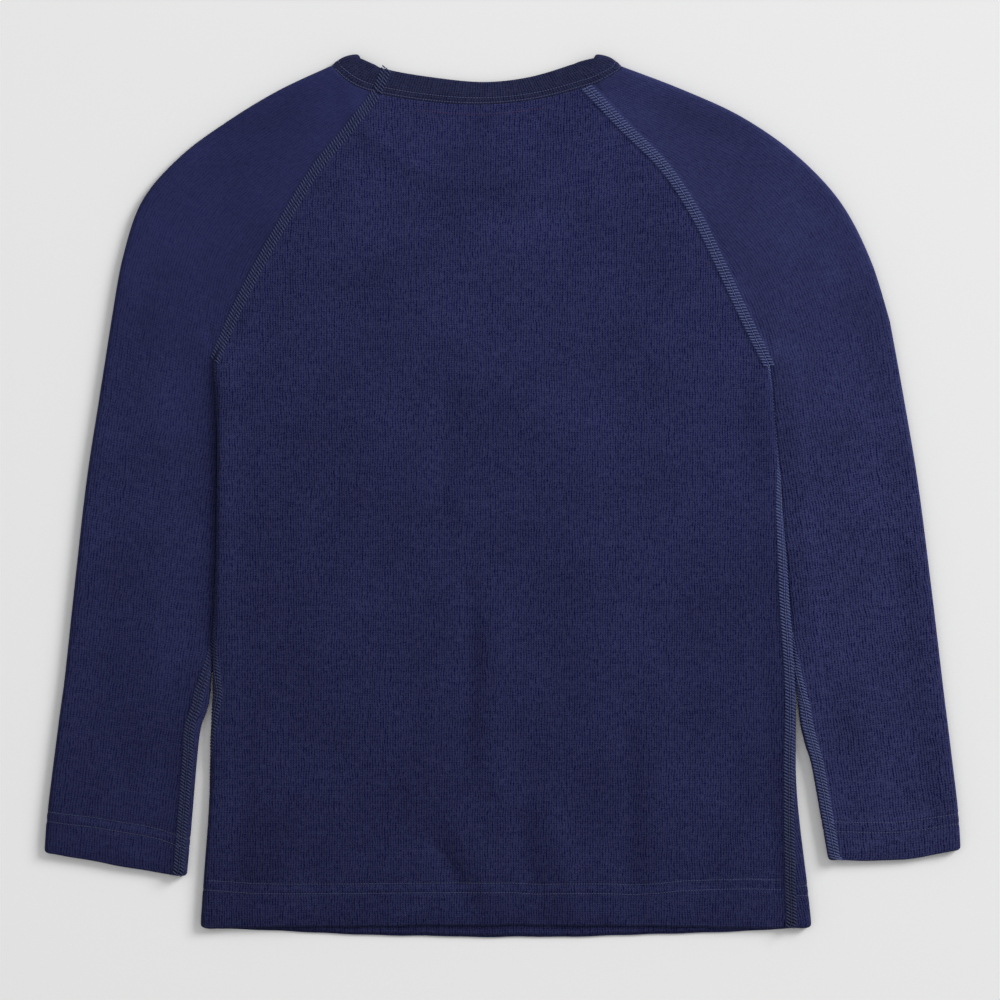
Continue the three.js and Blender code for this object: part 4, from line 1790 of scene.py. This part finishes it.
def share_up(
    tree: NodeTree, low: float, high: float, at_low: float, at_high: float
) -> NodeSocket:
    """Adds nodes for a value that changes between two places up the top.

    Args:
        tree: The material's nodes.
        low: The lower place, in metres.
        high: The upper place.
        at_low: The value up to the lower place.
        at_high: The value from the upper place.

    Returns:
        The value.
    """
    place = tree.nodes.new("ShaderNodeTexCoord")
    split = tree.nodes.new("ShaderNodeSeparateXYZ")
    tree.links.new(place.outputs["Object"], split.inputs[0])
    share = tree.nodes.new("ShaderNodeMapRange")
    for name, value in (("From Min", low), ("From Max", high), ("To Min", at_low), ("To Max", at_high)):
        share.inputs[name].default_value = value
    tree.links.new(split.outputs["Y"], share.inputs["Value"])
    return share.outputs[0]


def two_tone(tree: NodeTree, dark: tuple[float, ...], light: tuple[float, ...], tone: NodeSocket,
             level: NodeSocket) -> None:
    """Colours the shader between two colours.

    Args:
        tree: The material's nodes.
        dark: The colour at tone 0.
        light: The colour at tone 1.
        tone: The tone.
        level: What the colour is multiplied by, which carries the painted light.
    """
    colour = tree.nodes.new("ShaderNodeMix")
    colour.data_type = "RGBA"
    colour.inputs["A"].default_value = (*dark, 1.0)
    colour.inputs["B"].default_value = (*light, 1.0)
    tree.links.new(tone, colour.inputs["Factor"])
    # The colour is scaled by the dye's unevenness and the painted light
    scaled_by_dye_and_light = tree.nodes.new("ShaderNodeVectorMath")
    scaled_by_dye_and_light.operation = "SCALE"
    tree.links.new(colour.outputs["Result"], scaled_by_dye_and_light.inputs[0])
    tree.links.new(level, scaled_by_dye_and_light.inputs["Scale"])
    tree.links.new(scaled_by_dye_and_light.outputs[0], tree.nodes["Principled BSDF"].inputs["Base Color"])


@dataclass(frozen=True)
class KnitFinish:
    """The look of a knitted cloth.

    Attributes:
        name: Name of the material.
        dark: Colour of the painted shade between the columns, and of dark flecks.
        light: Colour of the painted highlight on the loops, and of light flecks.
        wale: Width of a column, in metres.
        course: Height of a stitch, in metres.
        relief: Depth of the knit's relief, in metres.
        smooth: Place up the garment from which the columns fade, and where they are faint, in metres.
        faded: Tone that they fade to.
    """

    name: str
    dark: tuple[float, float, float]
    light: tuple[float, float, float]
    wale: float
    course: float
    relief: float
    smooth: tuple[float, float] | None = None
    faded: float = 0.58

    def fade(self, tree: NodeTree, value: NodeSocket, middle: float) -> NodeSocket:
        """Draws a value towards its middle where the columns are faint.

        Args:
            tree: The material's nodes.
            value: The value.
            middle: Its middle.

        Returns:
            The drawn value.
        """
        if self.smooth is None:
            return value
        blend = tree.nodes.new("ShaderNodeMix")
        blend.inputs["B"].default_value = middle
        tree.links.new(share_up(tree, *self.smooth, 0.0, FAINT_SHARE), blend.inputs["Factor"])
        tree.links.new(value, blend.inputs["A"])
        return blend.outputs["Result"]

    def material(self, groups: NodeGroups) -> Material:
        """Builds the material.

        Args:
            groups: The shared node groups.

        Returns:
            The material.
        """
        material = new_material(self.name, 0.95, 0.05)
        nodes, links = material.node_tree.nodes, material.node_tree.links
        shader = nodes["Principled BSDF"]
        shader.inputs["Sheen Weight"].default_value = 0.02
        shader.inputs["Sheen Roughness"].default_value = 0.5
        uv = nodes.new("ShaderNodeUVMap")
        uv.uv_map = "knit"
        knit = nodes.new("ShaderNodeGroup")
        knit.node_tree = groups.knit
        knit.inputs["Wale"].default_value = self.wale
        knit.inputs["Course"].default_value = self.course
        dye_and_light = nodes.new("ShaderNodeGroup")
        dye_and_light.node_tree = groups.dye_and_light
        links.new(uv.outputs[0], knit.inputs["Knit"])
        links.new(uv.outputs[0], dye_and_light.inputs["Knit"])
        tone = self.fade(material.node_tree, knit.outputs["Tone"], self.faded)
        two_tone(material.node_tree, self.dark, self.light, tone, dye_and_light.outputs["Brightness"])
        relief = nodes.new("ShaderNodeBump")
        relief.inputs["Distance"].default_value = self.relief
        relief.inputs["Strength"].default_value = 1.0
        links.new(self.fade(material.node_tree, knit.outputs["Height"], 0.6), relief.inputs["Height"])
        links.new(relief.outputs[0], shader.inputs["Normal"])
        return material


@dataclass(frozen=True)
class ThreadFinish:
    """The look of sewing thread.

    Attributes:
        name: Name of the material.
        dark: Its darker colour.
        light: Its lighter colour.
        painted_shade: Places up where its painted shade is darkest and where it ends, in metres, and its level at
            the first.
    """

    name: str
    dark: tuple[float, float, float]
    light: tuple[float, float, float]
    painted_shade: tuple[float, float, float] | None = None

    def level(self, tree: NodeTree, value: NodeSocket) -> NodeSocket:
        """Lowers a level towards the hem with painted shade, where the thread has it.

        Args:
            tree: The material's nodes.
            value: The level.

        Returns:
            The lowered level.
        """
        if self.painted_shade is None:
            return value
        # Painted shade: the level drops towards the hem
        lowered = tree.nodes.new("ShaderNodeMath")
        lowered.operation = "MULTIPLY"
        tree.links.new(value, lowered.inputs[0])
        tree.links.new(share_up(tree, *self.painted_shade, 1.0), lowered.inputs[1])
        return lowered.outputs[0]

    def material(self, groups: NodeGroups) -> Material:
        """Builds the material from the shared level of dye and painted light, with small flecks.

        Args:
            groups: The shared node groups.

        Returns:
            The material.
        """
        material = new_material(self.name, 0.72, 0.3)
        nodes, links = material.node_tree.nodes, material.node_tree.links
        place = nodes.new("ShaderNodeTexCoord")
        noise = nodes.new("ShaderNodeTexNoise")
        noise.inputs["Scale"].default_value = 420.0
        links.new(place.outputs["Object"], noise.inputs["Vector"])
        dye_and_light = nodes.new("ShaderNodeGroup")
        dye_and_light.node_tree = groups.dye_and_light
        level = self.level(material.node_tree, dye_and_light.outputs["Level"])
        two_tone(material.node_tree, self.dark, self.light, noise.outputs[0], level)
        return material


NAVY_KNIT = KnitFinish("navy_knit", (0.001, 0.0022, 0.0333), (0.030, 0.0337, 0.0945), 0.00148, 0.0013, 0.00024)
LEFT_SLEEVE_KNIT = KnitFinish("navy_knit_left_sleeve", (0.0048, 0.0065, 0.0451), (0.0309, 0.0349, 0.1002), 0.0016,
                              0.0013, 0.00024, (0.0, 0.15), 0.47)
RIGHT_SLEEVE_KNIT = KnitFinish("navy_knit_right_sleeve", (0.0008, 0.0016, 0.029), (0.0355, 0.04, 0.1105), 0.0016,
                               0.0013, 0.00024, (0.0, 0.15))
NAVY_RIB = KnitFinish("navy_rib", (0.006, 0.007, 0.027), (0.023, 0.026, 0.065), 0.0015, 0.0012, 0.00026)
# One seam thread in two copies: painted darker on the left as painted shade, and lighter on the right as painted
# light from the right
SHADED_LEFT_SEAM_THREAD = ThreadFinish("seam_thread_left_painted_shade", (0.014, 0.020, 0.062), (0.040, 0.052, 0.138))
LIT_RIGHT_SEAM_THREAD = ThreadFinish("seam_thread_right_painted_light", (0.038, 0.052, 0.138), (0.090, 0.116, 0.265))
# Painted shade: the right side seam's thread gets darker towards the hem
LIT_RIGHT_SIDE_THREAD = ThreadFinish("side_seam_thread_right", (0.038, 0.052, 0.138), (0.090, 0.116, 0.265),
                                 (-0.225, -0.075, 0.36))
ROW_THREAD = ThreadFinish("row_thread", (0.032, 0.038, 0.094), (0.070, 0.084, 0.182))
TACK_THREAD = ThreadFinish("tack_thread", (0.070, 0.026, 0.075), (0.110, 0.040, 0.105))


@dataclass
class Thread:
    """Short threads laid from place to place, joined into one mesh.

    Attributes:
        name: Name of the piece.
        radius: Radius of the thread in millimetres.
        sides: How many sides the thread has.
        rise: How far it lies over its places, as a share of its radius.
        starts: Where the threads start, one array for each time that some are laid.
        ends: Where they end.
        normals: The cloth's outward normals at them.
    """

    name: str
    radius: float
    sides: int = 5
    rise: float = 0.3
    starts: list[Array] = field(default_factory=list)
    ends: list[Array] = field(default_factory=list)
    normals: list[Array] = field(default_factory=list)

    def lay(self, starts: Places, ends: Places) -> None:
        """Adds threads.

        Args:
            starts: Where each starts.
            ends: Where each ends.
        """
        self.starts.append(starts.points)
        self.ends.append(ends.points)
        self.normals.append(starts.normals)

    def prototype(self) -> tuple[Array, list[tuple[int, ...]]]:
        """One thread of length 1 along Z with rounded ends.

        Returns:
            Its vertices and its faces.
        """
        bm = bmesh.new()
        bmesh.ops.create_cone(bm, cap_ends=True, segments=self.sides, radius1=1.0, radius2=1.0, depth=0.6)
        for face in [face for face in bm.faces if len(face.verts) == self.sides]:
            top = bmesh.ops.extrude_discrete_faces(bm, faces=[face])["faces"][0]
            centre = top.calc_center_median()
            for vert in top.verts:
                vert.co = centre.lerp(vert.co, 0.55) + Vector((0.0, 0.0, math.copysign(0.2, centre.z)))
        bmesh.ops.remove_doubles(bm, verts=bm.verts[:], dist=1e-5)
        bm.verts.ensure_lookup_table()
        bm.verts.index_update()
        points = np.array([vert.co[:] for vert in bm.verts])
        faces = [tuple(vert.index for vert in face.verts) for face in bm.faces]
        bm.free()
        return points, faces

    def build(self, material: Material) -> Object:
        """Makes one object of all the threads.

        Args:
            material: Its finish.

        Returns:
            The object.
        """
        starts, ends, normals = (np.concatenate(group) for group in (self.starts, self.ends, self.normals))
        run = ends - starts
        length = np.linalg.norm(run, axis=1)[:, None]
        along = run / length
        side = np.cross(normals, along)
        side /= np.linalg.norm(side, axis=1)[:, None]
        up = np.cross(along, side)
        shape, faces = self.prototype()
        middle = (starts + ends) / 2 + up * self.radius * self.rise
        points = (
            middle[:, None, :]
            + side[:, None, :] * shape[None, :, 0:1] * self.radius
            + up[:, None, :] * shape[None, :, 1:2] * self.radius
            + run[:, None, :] * shape[None, :, 2:3]
        ).reshape(-1, 3)
        points[:, 2] = np.maximum(points[:, 2], 0.02)
        firsts = range(0, len(points), len(shape))
        joined = [tuple(index + first for index in face) for first in firsts for face in faces]
        mesh = bpy.data.meshes.new(self.name)
        mesh.from_pydata((points * MM).tolist(), [], joined)
        mesh.update()
        mesh.materials.append(material)
        return placed(self.name, mesh)


def spaced(line: Places, count: int, steps: int, phase: float) -> Places:
    """Places at an even step along a line of places.

    Args:
        line: The line.
        count: How many places.
        steps: How many steps the whole line has.
        phase: Share of a step by which the places are moved on.

    Returns:
        The places, with normals of length 1.
    """
    sums = running_length(line.points)
    wanted = (np.arange(count) + phase) * sums[-1] / steps
    point = np.column_stack([np.interp(wanted, sums, values) for values in line.points.T])
    facing = np.column_stack([np.interp(wanted, sums, values) for values in line.normals.T])
    return Places(point, facing / np.linalg.norm(facing, axis=1)[:, None])


SeamLine = Callable[[float], Places]


@dataclass
class Flatlock:
    """Flatlock sewing: two rows of leaning cross threads with a chain of stitches between them.

    Attributes:
        name: Name of the piece.
        row_inner: Where the cross threads start, from the seam's middle, in millimetres.
        row_outer: Where they end.
        chain_share: Share of its step that a stitch of the chain takes up.
        thread_radius: Radius of the thread.
    """

    name: str
    row_inner: float = 0.55
    row_outer: float = FLATLOCK_HALF - 0.25
    chain_share: float = 0.8
    thread_radius: float = 0.40

    def __post_init__(self) -> None:
        """Gets the thread ready."""
        self.cross = Thread(self.name, self.thread_radius)

    def sew(self, line: SeamLine, lean: float) -> None:
        """Lays one seam's threads.

        Args:
            line: Gives the places along the seam at an offset from its middle.
            lean: Share of a step by which each row's threads lean back along the seam.
        """
        for sign in (-1, 1):
            self.row(line(sign * self.row_inner), line(sign * self.row_outer), 0.5, 0.5 - sign * lean)
        self.row(line(0.0), line(0.0), 0.0, self.chain_share)

    def row(self, start: Places, end: Places, start_phase: float, end_phase: float) -> None:
        """Lays a row of threads from one line to another, each end moved on by its share of a step."""
        count = max(2, int(round(running_length(start.points)[-1] / FLATLOCK_PITCH)))
        self.cross.lay(spaced(start, count, count, start_phase), spaced(end, count, count, end_phase))


def lifted(places: Places, upper: float, lower: float) -> Places:
    """Places moved out along their normals, by one distance above and another underneath."""
    lift = np.where(places.normals[:, 2] < UNDERSIDE, lower, upper)
    return Places(places.points + places.normals * lift[:, None], places.normals)


def stack(rows: list[Places]) -> Places:
    """Joins rows of one place each into one line of places."""
    return Places(np.concatenate([row.points for row in rows]), np.concatenate([row.normals for row in rows]))


def between_rings(levels: Array, rings: list[Places], wanted: Array) -> Places:
    """Places between rings, each at its own height.

    Args:
        levels: The height of each ring.
        rings: The same number of places on each ring.
        wanted: The height wanted for each place.

    Returns:
        One place for each wanted height.
    """
    place = np.interp(wanted, levels, np.arange(len(levels)))
    low = np.minimum(place.astype(int), len(levels) - 2)
    share = (place - low)[:, None]
    number = np.arange(len(wanted))
    points = np.array([ring.points for ring in rings])
    normals = np.array([ring.normals for ring in rings])
    return Places(
        mix(points[low, number], points[low + 1, number], share),
        mix(normals[low, number], normals[low + 1, number], share),
    )


@dataclass
class Sewing:
    """All the stitches of the top.

    Attributes:
        levels: Distances from the edge of the hems' rings, between which their stitches are placed.
        row_radius: Radius of the thread in the hem's and the cuffs' rows.
        band_radius: The same in the neckband's rows.
        band_sink: How far the neckband's rows lie in its cloth, above and underneath.
        tack_radius: The same in the row below the neck.
        tack_share: Share of its step that a stitch of that row takes up.
        seam_clear: How far the hem's rows end from the side seams.
        point_step: About how far apart the places along a hem's row are.
    """

    levels: Array = field(default_factory=lambda: np.arange(13.0, 31.0, 1.5))
    row_radius: float = 0.25
    band_radius: float = 0.24
    band_sink: tuple[float, float] = (-0.16, -0.24)
    tack_radius: float = 0.2
    tack_share: float = 0.35
    seam_clear: float = 3.4
    point_step: float = 1.5

    def on_ring(self, ring: Callable[[float], tuple[Track, float]], line: Line, offset: float) -> Places:
        """Places along a seam that crosses rings.

        Args:
            ring: Gives the ring at a share of the piece's length, and the seam's distance on it.
            line: The edge whose length sets how many places there are.
            offset: Offset from the seam round the ring.

        Returns:
            The places, from the hem up.
        """
        whole = line.lengths()[1][-1]
        rows = []
        for share in shares_by_length(line, np.linspace(0.3, whole, int(whole / 3.0))):
            track, seam = ring(float(share))
            rows.append(track.at(np.array([seam + offset])))
        return lifted(stack(rows), RELIEF.strip_lift, -RELIEF.strip_sink)

    def on_raglan(self, side: Side, line: Line, layer: Layer, offset: float) -> Places:
        """Places along a raglan seam.

        Args:
            side: The side of the top.
            line: The seam.
            layer: The body's layer that it is on.
            offset: Offset from the seam, towards the sleeve if above 0.

        Returns:
            The places, from the armpit up.
        """
        shares = np.linspace(0.0, 1.0, 90)
        facing = np.array([line.facing(float(share), side.cut.sign) for share in shares])
        place = line.at(shares) + facing * offset
        if layer is Layer.LOWER:
            return lifted(underneath(place), 0.0, -RELIEF.strip_sink)
        body = side.puffed(np.column_stack([place, body_height(0.0)(*place.T)]))[:, 2]
        sleeve = side.pressed(np.column_stack([place, sleeve_height(side, 0.0)(*place.T)]))[:, 2]
        height = mix(body, sleeve, 0.5 + 0.5 * np.sign(offset))
        return lifted(on_top(place, height), RELIEF.strip_lift, 0.0)

    def on_band(self, offset: float) -> Places:
        """Places along the left raglan seam's sewing over the neckband.

        Args:
            offset: Offset to the seam's left.

        Returns:
            The places, from the neckband's seam edge to its free edge.
        """
        run = BAND_STRIP[1] - BAND_STRIP[0]
        across = np.array([-run[1], run[0]]) / np.linalg.norm(run)
        shares = np.linspace(0.05, 1.03, 12)
        place = BAND_STRIP[0] + run * shares[:, None] + across * offset
        return lifted(on_top(place, band_height(*place.T, shares)), RELIEF.strip_lift, 0.0)

    def side_seam(self, name: str, side: Side) -> Flatlock:
        """Sews one side seam of the body.

        Args:
            name: Name of the piece.
            side: The side of the top.

        Returns:
            The sewing.
        """
        seam = Flatlock(name)
        seam.sew(lambda offset: self.on_side_seam(side, offset), FLATLOCK_LEAN)
        return seam

    def sleeve_seams(self, name: str, side: Side) -> Flatlock:
        """Sews one sleeve's seams, whose threads lean alike over the whole top.

        Args:
            name: Name of the piece.
            side: The side of the top.

        Returns:
            The sewing.
        """
        seams = Flatlock(name)
        towards = side.cut.sign * FLATLOCK_LEAN
        seams.sew(lambda offset: self.on_underarm(side, offset), towards)
        seams.sew(lambda offset: self.on_raglan(side, side.back, Layer.UPPER, offset), towards)
        seams.sew(lambda offset: self.on_raglan(side, side.front, Layer.LOWER, offset), towards)
        if side.cut.sign < 0:
            seams.sew(self.on_band, towards)
        return seams

    def on_side_seam(self, side: Side, offset: float) -> Places:
        """Places along a side seam of the body.

        Args:
            side: The side of the top.
            offset: Offset from the seam round the body.

        Returns:
            The places, from the hem up.
        """
        column = 1 if side.cut.sign < 0 else 2

        def ring(share: float) -> tuple[Track, float]:
            """The body's ring at a share of its height, and the seam's distance on it."""
            values = body_ring(share)
            return values[0], values[column]

        places = self.on_ring(ring, side.body, offset)
        return Places(side.puffed(places.points), places.normals)

    def on_underarm(self, side: Side, offset: float) -> Places:
        """Places along a sleeve's underarm seam at an offset round the sleeve."""
        places = self.on_ring(lambda share: sleeve_ring(side, share)[0:2], side.inner, offset)
        return Places(side.pressed(places.points), places.normals)

    def hem_rows(self) -> Thread:
        """Two rows of stitches round the hem, which rise at both ends of the back.

        Returns:
            Their thread.
        """
        thread = Thread("hem_stitches", self.row_radius)
        rings = [body_ring(float(share)) for share in shares_by_length(SIDES[-1].body, self.levels)]
        _, left, right, _ = rings[0]
        clear = self.seam_clear
        shares = np.linspace(0.0, 1.0, int((right - left) / self.point_step))
        over = [track.at(mix(a + clear, b - clear, shares)) for track, a, b, _ in rings]
        under = [track.at(mix(b + clear, track.length + a - clear, shares)) for track, a, b, _ in rings]
        rise = rise_at(BACK_ROW_RISE, over[0].points[:, 0])
        for distance in STITCH_ROWS:
            self.row_of(thread, between_rings(self.levels, over, distance + rise))
            self.row_of(thread, between_rings(self.levels, under, np.full(len(shares), distance)))
        return thread

    def cuff_rows(self) -> Thread:
        """Two rows of stitches round each cuff, over the underarm seam too.

        Returns:
            Their thread.
        """
        thread = Thread("cuff_stitches", self.row_radius)
        for side in SIDES.values():
            rings = [sleeve_ring(side, float(share)) for share in shares_by_length(side.inner, self.levels)]
            track, _, _ = rings[0]
            from_seam = np.linspace(0.2, track.length - 0.2, int(track.length / self.point_step))
            shares = from_seam / track.length
            round_cuff = [ring.at(seam + ring.length * shares) for ring, seam, _ in rings]
            strip = np.clip(RELIEF.strip(np.minimum(from_seam, track.length - from_seam)), 0.0, 1.0)
            rise = rise_at(side.cut.row_rise, np.abs(round_cuff[0].points[:, 0]))
            for distance in STITCH_ROWS:
                places = between_rings(self.levels, round_cuff, distance + rise)
                over_strip = (strip * (RELIEF.strip_lift + 0.5))[:, None]
                self.row_of(thread, Places(places.points + places.normals * over_strip, places.normals))
        return thread

    def row_of(self, thread: Thread, places: Places) -> None:
        """Lays one row of short stitches, as deep as the cloth is pulled in by them."""
        self.dashes(thread, lifted(places, -RELIEF.hem_pull * 0.6, -RELIEF.hem_pull))

    @staticmethod
    def dashes(thread: Thread, line: Places, share: float = 0.7) -> None:
        """Lays short stitches along a line, each over a share of its step."""
        steps = int(running_length(line.points)[-1] / COVER_PITCH)
        thread.lay(spaced(line, steps - 1, steps, 0.0), spaced(line, steps - 1, steps, share))

    def tack_row(self) -> Thread:
        """A faint row of small stitches below the back's neck seam.

        Returns:
            Its thread.
        """
        thread = Thread("neck_tack_stitches", self.tack_radius)
        line = BACK_NECK_SEAM.at(np.linspace(0.0, 1.0, 400))
        inside = (line[:, 0] > TACK_ROW_SPAN[0]) & (line[:, 0] < TACK_ROW_SPAN[1])
        run = np.gradient(line, axis=0)
        below = np.column_stack([run[:, 1], -run[:, 0]]) / np.linalg.norm(run, axis=1)[:, None]
        place = (line + below * TACK_ROW_DROP)[inside]
        self.dashes(thread, on_top(place, body_height(0.0)(*place.T)), self.tack_share)
        return thread

    def neck_rows(self, band: Neckband) -> Thread:
        """Two rows of stitches round the neckband.

        Args:
            band: The neckband.

        Returns:
            Their thread.
        """
        thread = Thread("neckband_stitches", self.band_radius)
        for across in band.stitch_shares:
            rows = []
            for stretch in band.stretches():
                for step in range(stretch.count):
                    rows.append(stretch.places(step / stretch.count, np.array([across])))
            rows.append(rows[0])
            self.dashes(thread, lifted(stack(rows), *self.band_sink))
        return thread

    def build(self, band: Neckband, groups: NodeGroups) -> list[Object]:
        """Makes every stitch piece.

        Args:
            band: The neckband.
            groups: The shared node groups.

        Returns:
            The pieces.
        """
        # The left seams get the thread with painted shade, the right ones the thread with painted light
        row, left = ROW_THREAD.material(groups), SHADED_LEFT_SEAM_THREAD.material(groups)
        return [
            self.side_seam("left_side_stitches", SIDES[-1]).cross.build(left),
            self.sleeve_seams("left_sleeve_stitches", SIDES[-1]).cross.build(left),
            self.side_seam("right_side_stitches", SIDES[1]).cross.build(LIT_RIGHT_SIDE_THREAD.material(groups)),
            self.sleeve_seams("right_sleeve_stitches", SIDES[1]).cross.build(LIT_RIGHT_SEAM_THREAD.material(groups)),
            self.hem_rows().build(row),
            self.cuff_rows().build(row),
            self.neck_rows(band).build(row),
            self.tack_row().build(TACK_THREAD.material(groups)),
        ]


@dataclass(frozen=True)
class Lamp:
    """A square soft light that points at the top.

    Attributes:
        name: Its name.
        place: Where it is, in metres.
        size: Length of its sides.
        power: Its power, in watts.
    """

    name: str
    place: tuple[float, float, float]
    size: float
    power: float

    def build(self) -> None:
        """Adds the light."""
        data = bpy.data.lights.new(self.name, "AREA")
        data.shape = "SQUARE"
        data.size = self.size
        data.energy = self.power
        lamp = placed(self.name, data)
        lamp.location = self.place
        lamp.rotation_euler = (-Vector(self.place)).to_track_quat("-Z", "Y").to_euler()


@dataclass(frozen=True)
class Studio:
    """The pale floor, the soft light and the camera straight above.

    Attributes:
        camera_height: Height of the camera over the floor, in metres.
        view_width: Width of floor that the picture shows, in metres.
        aim: Middle of the picture on the floor, in metres.
        sensor: Width of the camera's sensor, in millimetres.
        floor_colour: Colour of the floor.
        floor_size: Half the floor's width, in metres.
        lamps: The lights.
        surround: Strength of the even light from all round.
    """

    camera_height: float = 2.0
    view_width: float = 0.58
    aim: tuple[float, float] = (-0.0017, -0.0025)
    sensor: float = 36.0
    floor_colour: tuple[float, float, float] = (0.80, 0.80, 0.80)
    floor_size: float = 4.0
    lamps: tuple[Lamp, ...] = (
        Lamp("key_right", (5.6, 4.0, 3.7), 3.0, 559.0),
        Lamp("fill_left", (-2.0, 1.0, 3.0), 2.0, 9.0),
    )
    surround: float = 0.52

    def camera(self) -> None:
        """Adds the camera and makes it the scene's."""
        data = bpy.data.cameras.new("camera")
        data.sensor_width = self.sensor
        data.lens = self.sensor * self.camera_height / self.view_width
        data.clip_end = 20.0
        camera = placed("camera", data)
        camera.location = (*self.aim, self.camera_height)
        bpy.context.scene.camera = camera

    def floor(self) -> Object:
        """Adds the plain pale floor.

        Returns:
            The floor.
        """
        bm = bmesh.new()
        bmesh.ops.create_grid(bm, x_segments=1, y_segments=1, size=self.floor_size)
        mesh = bpy.data.meshes.new("floor")
        bm.to_mesh(mesh)
        bm.free()
        material = new_material("pale_floor", 0.95, 0.1)
        shader = material.node_tree.nodes["Principled BSDF"]
        shader.inputs["Base Color"].default_value = (*self.floor_colour, 1.0)
        mesh.materials.append(material)
        return placed("floor", mesh)

    def world(self) -> None:
        """Sets an even pale surround."""
        world = bpy.data.worlds.new("surround")
        world.use_nodes = True
        background = world.node_tree.nodes["Background"]
        background.inputs["Color"].default_value = (1.0, 1.0, 1.0, 1.0)
        background.inputs["Strength"].default_value = self.surround
        bpy.context.scene.world = world

    def build(self) -> Object:
        """Sets up the whole studio.

        Returns:
            The floor.
        """
        bpy.context.scene.view_settings.view_transform = "Standard"
        self.camera()
        for lamp in self.lamps:
            lamp.build()
        self.world()
        return self.floor()


@dataclass(frozen=True)
class Cut:
    """The flat cut of one cloth piece.

    Attributes:
        flat: Width and length of the cut, in metres.
        area: Its area, in square metres.
    """

    flat: tuple[float, float]
    area: float


def declare(piece: Object, node: str) -> None:
    """Places a cloth piece in the frame, hides the part that it replaces and logs its faces.

    Args:
        piece: The piece.
        node: The node of the part that it replaces.
    """
    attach(piece, "root")
    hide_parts(node)
    LOG.info("%s: %d faces before its wall", piece.name, len(piece.data.polygons))


def main() -> None:
    """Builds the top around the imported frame."""
    logging.basicConfig(level=logging.INFO, format="%(message)s")
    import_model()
    floor = Studio().build()

    groups = NodeGroups()
    knit_material = NAVY_KNIT.material(groups)

    front = BodyPanel(name="front_cloth", node="front", layer=Layer.LOWER, columns=120)
    back = BodyPanel(name="back_cloth", node="back", layer=Layer.UPPER)
    declare(front.build(knit_material), "front")
    declare(back.build(knit_material), "back")
    for side, label, finish in ((SIDES[-1], "left", LEFT_SLEEVE_KNIT), (SIDES[1], "right", RIGHT_SLEEVE_KNIT)):
        sleeve = Sleeve(name=f"{label}_sleeve_cloth", node=f"{label}_sleeve", side=side)
        declare(sleeve.build(finish.material(groups)), sleeve.node)
    band = Neckband()
    declare(band.build(NAVY_RIB.material(groups)), "neckband")

    for piece in Sewing().build(band, groups):
        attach(piece, "root")
        LOG.info("%s: %d faces", piece.name, len(piece.data.polygons))


if __name__ == "__main__":
    main()
